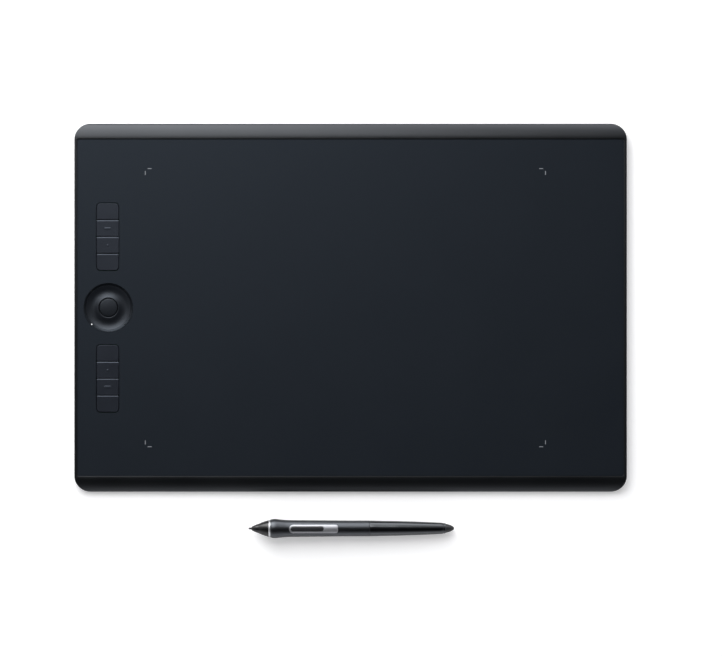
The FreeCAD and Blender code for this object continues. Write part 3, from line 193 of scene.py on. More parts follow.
POST_PLACES = ((-189, 84.6), (-189, -84.6), (-199.3, 25), (-178.7, -25), (-186.3, 93.5),
               (-173.5, 130.5))
POST_RADIUS, POST_FOOT, SCREW_BORE = 1.8, 4.2, 0.86
GRAIN_DEPTH, CLOUD_SHARE, PIT_SHARE = 0.00005, 0.6, 0.4


def make_moulded_grain():
    """Fine grain of a moulded or coated surface: cloudy shade, uneven gloss and tiny pits."""
    group = bpy.data.node_groups.new("moulded_grain", "ShaderNodeTree")
    for label, kind, value in (
            ("Dark", "NodeSocketColor", (0, 0, 0, 1)), ("Light", "NodeSocketColor", (1, 1, 1, 1)),
            ("Gloss Low", "NodeSocketFloat", 0.3), ("Gloss High", "NodeSocketFloat", 0.4),
            ("Cloud Scale", "NodeSocketFloat", 40.0), ("Pit Scale", "NodeSocketFloat", 2500.0)):
        socket = group.interface.new_socket(label, in_out="INPUT", socket_type=kind)
        socket.default_value = value
    for label, kind in (("Color", "NodeSocketColor"), ("Roughness", "NodeSocketFloat"),
                        ("Height", "NodeSocketFloat")):
        group.interface.new_socket(label, in_out="OUTPUT", socket_type=kind)
    given, result = group.nodes.new("NodeGroupInput").outputs, group.nodes.new("NodeGroupOutput")
    place = add_node(group, "ShaderNodeTexCoord").outputs["Object"]
    cloud = add_node(group, "ShaderNodeTexNoise",
                     {"Vector": place, "Scale": given["Cloud Scale"], "Detail": 3})
    pits = add_node(group, "ShaderNodeTexNoise",
                    {"Vector": place, "Scale": given["Pit Scale"], "Detail": 2})
    offset = add_node(group, "ShaderNodeMath", {0: pits.outputs["Fac"], 1: PIT_SHARE},
                      operation="MULTIPLY")
    both = add_node(group, "ShaderNodeMath",
                    {0: cloud.outputs["Fac"], 1: CLOUD_SHARE, 2: offset.outputs[0]},
                    operation="MULTIPLY_ADD").outputs[0]
    shade = add_node(group, "ShaderNodeMix",
                     {"Factor": both, "A": given["Dark"], "B": given["Light"]}, data_type="RGBA")
    gloss = add_node(group, "ShaderNodeMapRange",
                     {"Value": both, "From Min": 0.3, "From Max": 0.7,
                      "To Min": given["Gloss Low"], "To Max": given["Gloss High"]})
    group.links.new(shade.outputs["Result"], result.inputs["Color"])
    group.links.new(gloss.outputs["Result"], result.inputs["Roughness"])
    group.links.new(pits.outputs["Fac"], result.inputs["Height"])
    return group


moulded_grain = make_moulded_grain()


def finish(name, dark, light, gloss, bump=0.0, cloud=40.0, pits=2500.0, **plain):
    """A material of two close colours, from 0 to 255, and two close roughnesses, mixed by the
    moulded grain. Other inputs of the shader are given by their labels, in small letters."""
    material = bpy.data.materials.new(name)
    material.use_nodes = True
    tree = material.node_tree
    shader = tree.nodes["Principled BSDF"]
    grain = add_node(tree, "ShaderNodeGroup", {
        "Dark": tone(*dark), "Light": tone(*light), "Gloss Low": gloss[0],
        "Gloss High": gloss[1], "Cloud Scale": cloud, "Pit Scale": pits},
        node_tree=moulded_grain)
    tree.links.new(grain.outputs["Color"], shader.inputs["Base Color"])
    tree.links.new(grain.outputs["Roughness"], shader.inputs["Roughness"])
    if bump:
        relief = add_node(tree, "ShaderNodeBump", {
            "Strength": bump, "Distance": GRAIN_DEPTH, "Height": grain.outputs["Height"]})
        tree.links.new(relief.outputs["Normal"], shader.inputs["Normal"])
    for label, value in plain.items():
        socket = label.replace("_", " ").title().replace("Ior", "IOR")
        shader.inputs[socket].default_value = value
    return material


def outline(half_x, half_y, corner, per_corner=20, per_side=6, x=0.0, y=0.0):
    """A rounded rectangle as a closed ring of points, always cut in the same places."""
    arcs = []
    for turn, (across, along) in enumerate(((1, 1), (-1, 1), (-1, -1), (1, -1))):
        angles = [math.pi / 2 * (turn + step / per_corner) for step in range(per_corner + 1)]
        arcs.append([(across * (half_x - corner) + corner * math.cos(angle),
                      along * (half_y - corner) + corner * math.sin(angle)) for angle in angles])
    points = []
    for arc, following in zip(arcs, arcs[1:] + arcs[:1]):
        (x0, y0), (x1, y1) = arc[-1], following[0]
        parts = [step / per_side for step in range(1, per_side)]
        points += arc + [(x0 + (x1 - x0) * part, y0 + (y1 - y0) * part) for part in parts]
    return [(px + x, py + y) for px, py in points]


def ring_mesh(rings, cap_first=False, cap_last=False, closed=False):
    """A mesh through rings of points in millimetres, joined in order."""
    shell = bmesh.new()
    rows = [[shell.verts.new([value * MM for value in point]) for point in ring]
            for ring in rings]
    pairs = list(zip(rows, rows[1:])) + ([(rows[-1], rows[0])] if closed else [])
    for lower, upper in pairs:
        for index in range(len(lower)):
            after = (index + 1) % len(lower)
            shell.faces.new((lower[index], lower[after], upper[after], upper[index]))
    if cap_first:
        shell.faces.new(list(reversed(rows[0])))
    if cap_last:
        shell.faces.new(rows[-1])
    bmesh.ops.remove_doubles(shell, verts=shell.verts, dist=1e-7)
    bmesh.ops.recalc_face_normals(shell, faces=shell.faces)
    return shell


def settle(name, shell, material, body, smooth_angle=35, place=None, flat_faces=False):
    """Turn a built shell into a finished piece on its body, smooth up to an angle.
    Where flat_faces is set, large flat faces stay flat up to their rounded edges."""
    mesh = bpy.data.meshes.new(name)
    shell.to_mesh(mesh)
    shell.free()
    if place:
        mesh.transform(place)
    mesh.materials.append(material)
    mesh.shade_smooth()
    mesh.set_sharp_from_angle(angle=math.radians(smooth_angle))
    piece = put(name, mesh)
    if flat_faces:
        weigh = piece.modifiers.new("weigh", "WEIGHTED_NORMAL")
        weigh.keep_sharp = True
        bake(piece)
    if body:
        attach(piece, body)
    return piece


def cut(piece, cutter):
    """Cut one built piece with another, and drop the cutter."""
    change = piece.modifiers.new("cut", "BOOLEAN")
    change.operation = "DIFFERENCE"
    change.solver = "EXACT"
    change.object = cutter
    bake(piece)
    bpy.data.objects.remove(cutter)


def bake(piece):
    """Apply a piece's modifiers, so that it is a plain mesh."""
    bpy.context.view_layer.update()
    seen = piece.evaluated_get(bpy.context.evaluated_depsgraph_get())
    mesh = bpy.data.meshes.new_from_object(seen)
    piece.modifiers.clear()
    piece.data = mesh


def reopened(piece):
    """The shell of a piece that was built, and the piece itself dropped."""
    shell = bmesh.new()
    shell.from_mesh(piece.data)
    bpy.data.objects.remove(piece)
    return shell


def prism(points, low, high, along_x=False):
    """A straight bar through a closed ring of points, used as a cutter."""
    rings = [[(level, *point) if along_x else (*point, level) for point in points]
             for level in (low, high)]
    return ring_mesh(rings, cap_first=True, cap_last=True)


def casing_rings():
    """Rings from the recess floor up over the lip, down the outside and in under the cover."""
    lip_y = RECESS_Y + LIP_FLAT
    nose_y = HALF_Y - NOSE_RADIUS
    across, down = nose_y - lip_y, CASING_TOP - NOSE_HEIGHT
    roll = (across ** 2 + down ** 2 - NOSE_RADIUS ** 2) / (2 * (down - NOSE_RADIUS))
    tilt = math.asin(across / (roll - NOSE_RADIUS))

    def crest(y):
        """The height of the lip, the roll or the nose."""
        y = abs(y)
        if y <= lip_y:
            return CASING_TOP
        if y <= lip_y + roll * math.sin(tilt):
            return CASING_TOP - roll + math.sqrt(roll ** 2 - (y - lip_y) ** 2)
        return NOSE_HEIGHT + math.sqrt(max(NOSE_RADIUS ** 2 - (y - nose_y) ** 2, 0))

    places = [RECESS_Y + step for step in LIP_PLACES] + [lip_y]
    places += [lip_y + roll * math.sin(tilt * step / ROLL_STEPS)
               for step in range(1, ROLL_STEPS + 1)]
    places += [nose_y + NOSE_RADIUS * math.sin(tilt + (math.pi / 2 - tilt) * step / NOSE_STEPS)
               for step in range(1, NOSE_STEPS + 1)]
    shares = [(place - RECESS_Y) / (HALF_Y - RECESS_Y) for place in places]
    inner = outline(RECESS_X, RECESS_Y, RECESS_CORNER)
    outer = outline(HALF_X, HALF_Y, PLAN_CORNER)
    rings = [[(x, y, level) for x, y in inner] for level in (DECK_TOP, CASING_TOP - LIP_DROP)]

    def lip_fall(near, point):
        """The lip's soft slope down to the sheet."""
        part = min(math.dist(near, point) / LIP_WIDTH, 1)
        return LIP_DROP * (1 - part) ** 1.3

    def rim_drop(far, point):
        """The rounded rim of the ends and corners, which fades out where the nose takes over."""
        steep = min(abs(far[0] - math.copysign(HALF_X, far[0])) / PLAN_CORNER, 1)
        radius = RIM_RADIUS * (1 - steep) ** 0.5 if steep < 1 else 0
        gap = math.dist(far, point)
        if radius < 1e-6 or gap >= radius:
            return 0.0
        return radius - math.sqrt(radius ** 2 - (radius - gap) ** 2)

    for share in shares:
        ring = []
        for near, far in zip(inner, outer):
            x = near[0] + (far[0] - near[0]) * share
            y = near[1] + (far[1] - near[1]) * share
            ring.append((x, y, crest(y) - lip_fall(near, (x, y)) - rim_drop(far, (x, y))))
        rings.append(ring)
    edge = rings[-1]
    tuck = NOSE_HEIGHT - CASING_FOOT
    for part in (0.35, 0.7, 1.0):
        rings.append([(x, y, z + (NOSE_HEIGHT - z) * part) for x, y, z in edge])
    for step in range(1, TUCK_STEPS + 1):
        angle = math.pi / 2 * step / TUCK_STEPS
        limit = HALF_Y - tuck * (1 - math.cos(angle))
        level = NOSE_HEIGHT - tuck * math.sin(angle)
        rings.append([(x, max(-limit, min(limit, y)), level) for x, y, _ in edge])
    for bounds, level in ((FOOT_EDGE, CASING_FOOT), (FOOT_EDGE, COVER_TOP),
                          (CAVITY_EDGE, COVER_TOP), (CAVITY_EDGE, DECK_UNDER)):
        rings.append([(x, y, level) for x, y in outline(*bounds)])
    return rings


def key_outline(side, gap):
    """The outline of a block of keys, wider by a gap: side 1 to the rear, -1 to the front."""
    return outline(KEY_HALF_X + gap, BLOCK_HALF_Y + gap, BLOCK_CORNER + gap, 10, 4,
                   KEY_X, side * KEY_BLOCK_Y)


def circle(x, y, radius, steps=96):
    """A closed ring of points."""
    return [(x + radius * math.cos(2 * math.pi * step / steps),
             y + radius * math.sin(2 * math.pi * step / steps)) for step in range(steps)]


def slot_outline(x, y, length, width, steps=12):
    """A round-ended slot that lies along its first axis."""
    half, radius = (length - width) / 2, width / 2
    return [(x + side * (half + radius * math.sin(math.pi * step / steps)),
             y - side * radius * math.cos(math.pi * step / steps))
            for side in (1, -1) for step in range(steps + 1)]


SHIFT = Matrix.Translation((0, TABLET_Y * MM, 0))
casing_coat = finish("casing_coat", (2, 3, 4), (5, 6, 7), (0.32, 0.38), bump=0.1,
                     cloud=25, pits=4000, specular_tint=(0.88, 0.93, 1.0, 1))
casing = settle("casing", ring_mesh(casing_rings(), cap_first=True, cap_last=True),
                casing_coat, None)
openings = [prism(key_outline(side, KEY_GAP), COVER_TOP, CUT_TOP) for side in (-1, 1)]
openings.append(prism(circle(RING_X, 0, RING_OPENING), COVER_TOP, CUT_TOP))
for port in (slot_outline(*SOCKET_PORT), slot_outline(*POWER_PORT),
             outline(SWITCH_HALF_Y, SWITCH_HALF_Z, SWITCH_CORNER, 4, 1, SWITCH_Y, SWITCH_Z)):
    openings.append(prism(port, *WALL_CUT, along_x=True))
for shell in openings:
    cut(casing, settle("opening", shell, casing_coat, None))
bosses = [(across * BOSS_X, along * BOSS_Y, BOSS_RADIUS, COVER_TOP)
          for across in (-1, 0, 1) for along in (-1, 1)]
bosses += [(x, y, POST_RADIUS, POST_FOOT) for x, y in POST_PLACES]
casing_shell = reopened(casing)
for x, y, radius, foot in bosses:
    walls = ((radius, foot), (radius, DECK_UNDER), (SCREW_BORE, DECK_UNDER), (SCREW_BORE, foot))
    tube = ring_mesh([[(px, py, level) for px, py in circle(x, y, reach, 32)]
                      for reach, level in walls], closed=True)
    tube_mesh = bpy.data.meshes.new("tube")
    tube.to_mesh(tube_mesh)
    tube.free()
    casing_shell.from_mesh(tube_mesh)
casing = settle("casing", casing_shell, casing_coat, "tablet", 32, SHIFT, flat_faces=True)
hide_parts("top_frame")


# --------------------
# Drawing sheet: a matt black film with a paper tooth, stuck into the casing's recess and cut
# out round the keys and the ring. The adhesive under it can't be seen.
SHEET_LOW, SHEET_TOP, SHEET_GAP, SHEET_ROUNDING = 7.25, 7.65, 0.15, 0.08


def merged(mesh, distance):
    """The shell of a mesh with its doubles merged."""
    shell = bmesh.new()
    shell.from_mesh(mesh)
    bmesh.ops.remove_doubles(shell, verts=shell.verts, dist=distance)
    return shell


def round_edges(shell, edges, width, segments):
    """Round some edges of a shell, by a width in millimetres."""
    bmesh.ops.bevel(shell, geom=edges, offset=width * MM, segments=segments, affect="EDGES",
                    profile=0.5, clamp_overlap=True)


def plate_with_holes(name, edge, holes, low, high, rounding):
    """A flat plate from a closed outline and its holes, with softened upper edges."""
    curve = bpy.data.curves.new(name, "CURVE")
    curve.dimensions = "2D"
    curve.fill_mode = "BOTH"
    curve.extrude = (high - low) / 2 * MM
    for ring in [edge, *holes]:
        spline = curve.splines.new("POLY")
        spline.points.add(len(ring) - 1)
        for point, (x, y) in zip(spline.points, ring):
            point.co = (x * MM, y * MM, 0, 1)
        spline.use_cyclic_u = True
    loose = put(name, curve)
    bpy.context.view_layer.update()
    mesh = bpy.data.meshes.new_from_object(loose)
    bpy.data.objects.remove(loose)
    mesh.transform(Matrix.Translation((0, 0, (high + low) / 2 * MM)))
    shell = merged(mesh, 1e-7)
    bmesh.ops.recalc_face_normals(shell, faces=shell.faces)
    level = high * MM
    rim = [edge for edge in shell.edges if all(abs(v.co.z - level) < 1e-7 for v in edge.verts)
           and any(abs(face.normal.z) < 0.5 for face in edge.link_faces)]
    round_edges(shell, rim, rounding, 2)
    return shell


sheet_film = finish("sheet_film", (5, 8, 13), (7, 10, 15), (0.5, 0.54), bump=0.3,
                    cloud=18, pits=3200, specular_ior_level=0.36,
                    specular_tint=(0.68, 0.82, 1.0, 1))
sheet_shell = plate_with_holes(
    "drawing_sheet", outline(RECESS_X - SHEET_GAP, RECESS_Y - SHEET_GAP, RECESS_CORNER, 8, 1),
    [key_outline(-1, KEY_GAP), key_outline(1, KEY_GAP), circle(RING_X, 0, RING_OPENING, 128)],
    SHEET_LOW, SHEET_TOP, SHEET_ROUNDING)
sheet = settle("drawing_sheet", sheet_shell, sheet_film, "tablet", 60, SHIFT, flat_faces=True)
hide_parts("surface_sheet")
adhesive_film = finish("adhesive_film", (150, 150, 145), (170, 170, 164), (0.35, 0.5))
nodes["sheet_adhesive"].data.materials[0] = adhesive_film


# --------------------
# Corner marks of the active area: two short strokes of grey ink at each corner, printed on the
# sheet and pointing inwards along its edges.
MARKS_X, INK_LIFT = -0.00405, 0.01


def make_corner_marks():
    """One pair of strokes at each corner of a grid, turned to point inwards."""
    tree = bpy.data.node_groups.new("corner_marks", "GeometryNodeTree")
    tree.interface.new_socket("Geometry", in_out="INPUT", socket_type="NodeSocketGeometry")
    sizes = {}
    for label, value in (("Area Length", 0.3114), ("Area Width", 0.2164),
                         ("Stroke Length", 0.0031), ("Stroke Width", 0.0006),
                         ("Ink Depth", 0.00002), ("Gap", 0.0018)):
        socket = tree.interface.new_socket(label, in_out="INPUT", socket_type="NodeSocketFloat")
        socket.default_value = value
        sizes[label] = (socket.identifier, value)
    ink = tree.interface.new_socket("Ink", in_out="INPUT", socket_type="NodeSocketMaterial")
    tree.interface.new_socket("Geometry", in_out="OUTPUT", socket_type="NodeSocketGeometry")
    given, result = tree.nodes.new("NodeGroupInput").outputs, tree.nodes.new("NodeGroupOutput")

    def add(kind, inputs=None, **settings):
        """The first output of a new node in this tree."""
        return add_node(tree, kind, inputs, **settings).outputs[0]

    grid = add("GeometryNodeMeshGrid", {"Size X": given["Area Length"], "Vertices X": 2,
                                        "Size Y": given["Area Width"], "Vertices Y": 2})
    reach = add("ShaderNodeMath", {0: given["Stroke Length"], 1: 0.5, 2: given["Gap"]},
                operation="MULTIPLY_ADD")
    strokes = []
    for along in (0, 1):
        lengths = add("ShaderNodeCombineXYZ", {
            along: given["Stroke Length"], 1 - along: given["Stroke Width"],
            2: given["Ink Depth"]})
        bar = add("GeometryNodeMeshCube", {"Size": lengths})
        place = add("ShaderNodeCombineXYZ", {along: reach})
        strokes.append(add("GeometryNodeTransform", {"Geometry": bar, "Translation": place}))
    pair = add_node(tree, "GeometryNodeJoinGeometry")
    for stroke in strokes:
        tree.links.new(stroke, pair.inputs["Geometry"])
    parts = add_node(tree, "ShaderNodeSeparateXYZ", {0: add("GeometryNodeInputPosition")})
    signs = [add("ShaderNodeMath", {0: parts.outputs[axis]}, operation="SIGN") for axis in (0, 1)]
    inward = [add("ShaderNodeMath", {0: sign, 1: -1}, operation="MULTIPLY") for sign in signs]
    angle = add("ShaderNodeMath", {0: inward[1], 1: inward[0]}, operation="ARCTAN2")
    diagonal = add("ShaderNodeMath", {0: angle, 1: math.pi / 4}, operation="SUBTRACT")
    spread = add("GeometryNodeInstanceOnPoints", {
        "Points": grid, "Instance": pair.outputs[0],
        "Rotation": add("ShaderNodeCombineXYZ", {2: diagonal})})
    real = add("GeometryNodeRealizeInstances", {"Geometry": spread})
    inked = add("GeometryNodeSetMaterial", {"Geometry": real, "Material": given["Ink"]})
    tree.links.new(inked, result.inputs["Geometry"])

    ink_print = finish("mark_ink", (112, 116, 122), (130, 134, 140), (0.5, 0.6))
    carrier = put("corner_marks", bpy.data.meshes.new("corner_marks"))
    modifier = carrier.modifiers.new("marks", "NODES")
    modifier.node_group = tree
    for identifier, value in sizes.values():
        modifier[identifier] = value
    modifier[ink.identifier] = ink_print
    bake(carrier)
    carrier.data.transform(Matrix.Translation((MARKS_X, TABLET_Y * MM,
                                               (SHEET_TOP + INK_LIFT) * MM)))
    if not carrier.data.materials:
        carrier.data.materials.append(ink_print)
    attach(carrier, "tablet")


make_corner_marks()


# --------------------
# Keys: two blocks of four satin caps, each block cut by three V joints, with a raised dash or dot
# to find them by touch. Each cap stands on a snap dome.
KEY_TOP, MARK_LEVEL, MARK_RADIUS = 7.5, 7.75, 0.8
MARK_REAR_SLOPE, MARK_FRONT_SLOPE = 0.7, 0.1
RIM_LEVELS, RIM_REACH, RIM_ROUNDING, RIM_SEGMENTS = (7.0, 7.55), 5, 0.35, 4


def softened(node, name, width, segments, material, body, smooth_angle=35, reshape=None):
    """A copy of a solid with its doubles merged and its sharp edges rounded."""
    shell = merged(nodes[node].data, 1e-6)
    bmesh.ops.dissolve_limit(shell, angle_limit=math.radians(1), verts=shell.verts,
                             edges=shell.edges)
    if reshape:
        reshape(shell)
    sharp = [edge for edge in shell.edges
             if len(edge.link_faces) == 2 and edge.calc_face_angle(0) > math.radians(smooth_angle)]
    round_edges(shell, sharp, width, segments)
    # Rounding leaves the faces in no fixed order
    shell.verts.index_update()
    by_corners = sorted(shell.faces, key=lambda face: sorted(v.index for v in face.verts))
    shell.faces.sort(key={face: place for place, face in enumerate(by_corners)}.get)
    piece = settle(name, shell, material, body, smooth_angle, flat_faces=True)
    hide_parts(node)
    return piece


def slope_mark(shell):
    """Draw in the top of a key's raised mark: a ridge with a long rear slope and a steep front."""
    crest = [vertex for vertex in shell.verts if vertex.co.z > MARK_LEVEL * MM]
    if not crest:
        return
    middle = sum((vertex.co for vertex in crest), Vector()) / len(crest)
    reach = max(abs(vertex.co.x - middle.x) for vertex in crest)
    for vertex in crest:
        flat = Vector((vertex.co.x - middle.x, vertex.co.y - middle.y))
        spine_end = reach - MARK_RADIUS * MM
        spine = Vector((max(-spine_end, min(spine_end, flat.x)), 0))
        out = flat - spine
        inset = (MARK_REAR_SLOPE if out.y > 0 else MARK_FRONT_SLOPE) * MM
        moved = spine + out * (1 - inset / out.length)
        vertex.co.x, vertex.co.y = middle.x + moved.x, middle.y + moved.y


def round_rim(shell):
    """Shape the mark, and round the cap's outer upper edge more than the edges of its joints."""
    slope_mark(shell)
    lowest, highest = RIM_LEVELS
    middle = sum((vertex.co for vertex in shell.verts), Vector()) / len(shell.verts)
    rim = []
    for edge in shell.edges:
        a, b = edge.verts
        level = min(a.co.z, b.co.z)
        if len(edge.link_faces) != 2 or level < lowest * MM or level > highest * MM:
            continue
        if sum(abs(face.normal.z) < 0.1 for face in edge.link_faces) != 1:
            continue
        at_side = max(abs(v.co.x - middle.x) for v in edge.verts) > RIM_REACH * MM
        at_top = abs(a.co.z - b.co.z) < 1e-7 and abs(level - KEY_TOP * MM) < 1e-6
        if at_side or at_top:
            rim.append(edge)
    round_edges(shell, rim, RIM_ROUNDING, RIM_SEGMENTS)


key_plastic = finish("key_plastic", (12, 14, 19), (16, 19, 25), (0.38, 0.44), bump=0.12,
                     cloud=60, pits=3500, specular_ior_level=0.46,
                     specular_tint=(0.72, 0.82, 1.0, 1))
for block in ("upper", "lower"):
    for number in (1, 2, 3, 4):
        name = f"{block}_key_{number}"
        softened(name, name + "_cap", 0.1, 3, key_plastic, name, 28, round_rim)


# --------------------
# Touch ring: a dished satin moulding, a flat gloss rim with four small windows, one of them lit,
# and a slightly domed button in the middle.
RING_PLACE = Matrix.Translation((RING_X * MM, TABLET_Y * MM, 0))
RING_TOP, DISH_INNER, DISH_OUTER, DISH_SLOPE, DISH_STEPS = 7.5, 7.9, 17.35, 23, 28
WINDOW_CIRCLE, WINDOW_RADIUS, WINDOW_ANGLES, LIT_WINDOW = 18.3, 0.5, (45, 135, 225, 315), 2
BUTTON_EDGE, BUTTON_RIM, BUTTON_CROWN, CROWN_STEPS = 6.7, 6.9, 0.3, 14


def lathe(profile, steps, place, along_x=False):
    """Turn an open or closed profile of (radius, height) round an axis, poles closed."""
    rings = []
    for radius, height in profile:
        ring = []
        for step in range(steps):
            angle = 2 * math.pi * step / steps
            across = max(radius, 1e-5) * math.cos(angle)
            up = max(radius, 1e-5) * math.sin(angle)
            ring.append((height, across, up) if along_x else (across, up, height))
        rings.append(ring)
    shell = ring_mesh(rings)
    bmesh.ops.remove_doubles(shell, verts=shell.verts, dist=2e-7)
    ends = [edge for edge in shell.edges if len(edge.link_faces) == 1]
    if ends:
        bmesh.ops.holes_fill(shell, edges=ends, sides=0)
    bmesh.ops.recalc_face_normals(shell, faces=shell.faces)
    bmesh.ops.transform(shell, matrix=place, verts=shell.verts)
    return shell


def dish_profile():
    """The ring's section, with the fingertip dish as an arc between its two lips."""
    middle, half = (DISH_INNER + DISH_OUTER) / 2, (DISH_OUTER - DISH_INNER) / 2 - 0.1
    slope = math.radians(DISH_SLOPE)
    radius = half / math.sin(slope)
    dish = []
    for step in range(DISH_STEPS + 1):
        angle = slope * (1 - 2 * step / DISH_STEPS)
        dish.append((middle + radius * math.sin(angle),
                     RING_TOP - radius * (math.cos(angle) - math.cos(slope))))
    flange = [(7.5, 5.45), (21.0, 5.45), (21.0, 6.05), (DISH_OUTER, 6.05), (DISH_OUTER, 7.42),
              (17.3, RING_TOP)]
    throat = [(7.78, RING_TOP), (7.66, 7.4), (7.6, 7.0), (7.5, 6.6)]
    return flange + dish + throat


ring_plastic = finish("ring_plastic", (4, 6, 10), (7, 9, 13), (0.34, 0.4), bump=0.1,
                      cloud=60, pits=3500, specular_tint=(0.78, 0.87, 1.0, 1))
profile = dish_profile()
ring = settle("touch_dish", lathe(profile + profile[:1], 160, RING_PLACE), ring_plastic,
              "tablet", 40)
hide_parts("touch_ring")

rim_gloss = finish("rim_gloss", (3, 4, 6), (6, 7, 9), (0.24, 0.32), cloud=30,
                   specular_tint=(0.72, 0.84, 1.0, 1))
window_places = [(WINDOW_CIRCLE * math.cos(math.radians(angle)),
                  WINDOW_CIRCLE * math.sin(math.radians(angle))) for angle in WINDOW_ANGLES]
rim_profile = [(17.45, 6.05), (19.1, 6.05), (19.1, 7.55), (19.05, 7.6), (18.9, 7.59),
               (17.6, 7.46), (17.5, 7.43), (17.45, 7.38)]
rim = settle("ring_rim", lathe(rim_profile + rim_profile[:1], 160, Matrix.Identity(4)),
             rim_gloss, None)
for x, y in window_places:
    hole = prism(circle(x, y, WINDOW_RADIUS, 20), 5, CUT_TOP)
    cut(rim, settle("hole", hole, rim_gloss, None))
rim = settle("ring_rim", reopened(rim), rim_gloss, "tablet", 40, RING_PLACE)
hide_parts("ring_bezel")

dark_lens = finish("dark_lens", (16, 17, 19), (24, 25, 27), (0.15, 0.2))
lit_lens = finish("lit_lens", (200, 205, 210), (225, 228, 232), (0.2, 0.3),
                  emission_color=(1, 1, 1, 1), emission_strength=0.7)
lens_profile = [(0, 4.8), (0.48, 4.8), (0.48, 7.46), (0.4, 7.53), (0.2, 7.555), (0, 7.56)]
lens_shells = [lathe(lens_profile, 20, Matrix.Translation(((RING_X + x) * MM,
                                                           (TABLET_Y + y) * MM, 0)))
               for x, y in window_places]
lit = settle("lit_window", lens_shells.pop(LIT_WINDOW), lit_lens, "tablet", 30)
joined = bmesh.new()
for shell in lens_shells:
    loose = bpy.data.meshes.new("lens")
    shell.to_mesh(loose)
    shell.free()
    joined.from_mesh(loose)
dark = settle("dark_windows", joined, dark_lens, "tablet", 30)
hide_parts("light_pipes")
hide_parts("light_pipes")

button_profile = [(0, 4.72), (8.2, 4.72), (8.2, 5.15), (7.1, 5.15), (7.1, 6.3), (7.0, 6.7),
                  (6.88, 6.84), (BUTTON_EDGE, BUTTON_RIM)]
for step in range(1, CROWN_STEPS + 1):
    share = 1 - step / CROWN_STEPS
    button_profile.append((BUTTON_EDGE * share, BUTTON_RIM + BUTTON_CROWN * (1 - share ** 2)))
button = settle("ring_button_cap", lathe(button_profile, 120, RING_PLACE), ring_plastic,
                "ring_button", 40)
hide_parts("ring_button")


# --------------------
# Underside and edges: the anodised cover with its rubber feet, the socket for the charging lead,
# the power button and the touch switch.
cover_metal = finish("cover_metal", (20, 21, 23), (27, 28, 30), (0.38, 0.46), bump=0.2,
                     cloud=20, pits=5000, metallic=0.6)
softened("back_cover", "cover_plate", 0.1, 2, cover_metal, "tablet")
foot_rubber = finish("foot_rubber", (18, 18, 18), (30, 30, 30), (0.7, 0.85), bump=0.5,
                     cloud=80, pits=1800)
softened("rubber_feet", "foot_pads", 0.2, 3, foot_rubber, "tablet")
shell_steel = finish("shell_steel", (150, 151, 153), (175, 176, 178), (0.22, 0.32),
                     cloud=200, metallic=1.0)
nodes["usb_socket"].data.materials[0] = shell_steel
softened("power_button", "power_button_cap", 0.1, 2, key_plastic, "power_button")
softened("touch_switch", "touch_switch_knob", 0.1, 2, key_plastic, "touch_switch")


# --------------------
# Inside the casing: the sensing stack, the grid that backs it, the boards, the battery and what
# joins them. None of it shows, and each keeps its solid.
INSIDE = [
    ("polyimide", (170, 96, 30), (196, 120, 48), (0.25, 0.35), {"cloud": 90},
     ("touch_film", "ring_electrode", "sensor_flex", "touch_flex", "key_flex",
      "wireless_antenna")),
    ("board_mask", (14, 74, 44), (24, 92, 58), (0.28, 0.4), {"cloud": 150},
     ("sensor_board", "main_board", "key_board", "pen_board")),
    ("stamped_steel", (150, 152, 154), (176, 178, 180), (0.28, 0.4),
     {"cloud": 60, "metallic": 1.0}, ("shield_plate", "pen_switch_domes")),
    ("grid_plastic", (40, 41, 43), (56, 57, 60), (0.45, 0.55), {},
     ("support_grid", "touch_switch_body", "power_switch", "pen_core")),
    ("chip_plastic", (22, 22, 24), (34, 34, 36), (0.4, 0.5), {"cloud": 300},
     ("main_board_chips",)),
    ("lamp_lens", (225, 222, 205), (240, 238, 225), (0.3, 0.4), {}, ("status_leds",)),
    ("pouch_foil", (170, 172, 176), (190, 192, 195), (0.3, 0.45),
     {"cloud": 120, "metallic": 0.8}, ("battery",)),
    ("foam", (190, 190, 184), (210, 210, 204), (0.7, 0.9), {"cloud": 300}, ("battery_pad",)),
    ("wire_jacket", (130, 24, 20), (160, 36, 30), (0.35, 0.45), {},
     ("battery_lead", "battery_plug")),
    ("plated_steel", (110, 110, 112), (140, 140, 142), (0.25, 0.35),
     {"cloud": 250, "metallic": 1.0}, ("case_screws", "board_screws", "rocker_pin")),
    ("copper", (170, 96, 60), (200, 122, 80), (0.25, 0.35), {"cloud": 200, "metallic": 1.0},
     ("pen_coil", "pressure_sensor")),
]
for name, dark_tone, light_tone, gloss, more, members in INSIDE:
    material = finish(name, dark_tone, light_tone, gloss, **more)
    for member in members:
        nodes[member].data.materials[0] = material


# --------------------
# Snap domes: nine round caps of spring steel on the key board, one under each key and one under
# the ring's button. Each stands on its rim.
DOME_RADIUS, DOME_RIM, DOME_STEPS = 2.4, 0.08, 8


def quarter(steps):
    """The angles that cut a quarter turn into even steps, without its start."""
    return [math.pi / 2 * step / steps for step in range(1, steps + 1)]


def islands(node):
    """The centre, the foot and the top of each separate body of a solid, in metres."""
    shell = merged(nodes[node].data, 1e-6)
    left, found = set(shell.verts), []
    for start in shell.verts:
        if start not in left:
            continue
        left.discard(start)
        stack, body = [start], []
        while stack:
            vertex = stack.pop()
            body.append(vertex.co.copy())
            for edge in vertex.link_edges:
                other = edge.other_vert(vertex)
                if other in left:
                    left.discard(other)
                    stack.append(other)
        centre = sum(body, Vector()) / len(body)
        levels = [point.z for point in body]
        found.append((centre.x, centre.y, min(levels), max(levels)))
    shell.free()
    return found


def gap_to(presser, x, y):
    """How far the middle of a key or button lies from a place, seen from above."""
    solid = nodes[presser]
    corners = [solid.matrix_world @ Vector(corner) for corner in solid.bound_box]
    middle = sum(corners, Vector()) / 8
    return math.dist((middle.x, middle.y), (x, y))


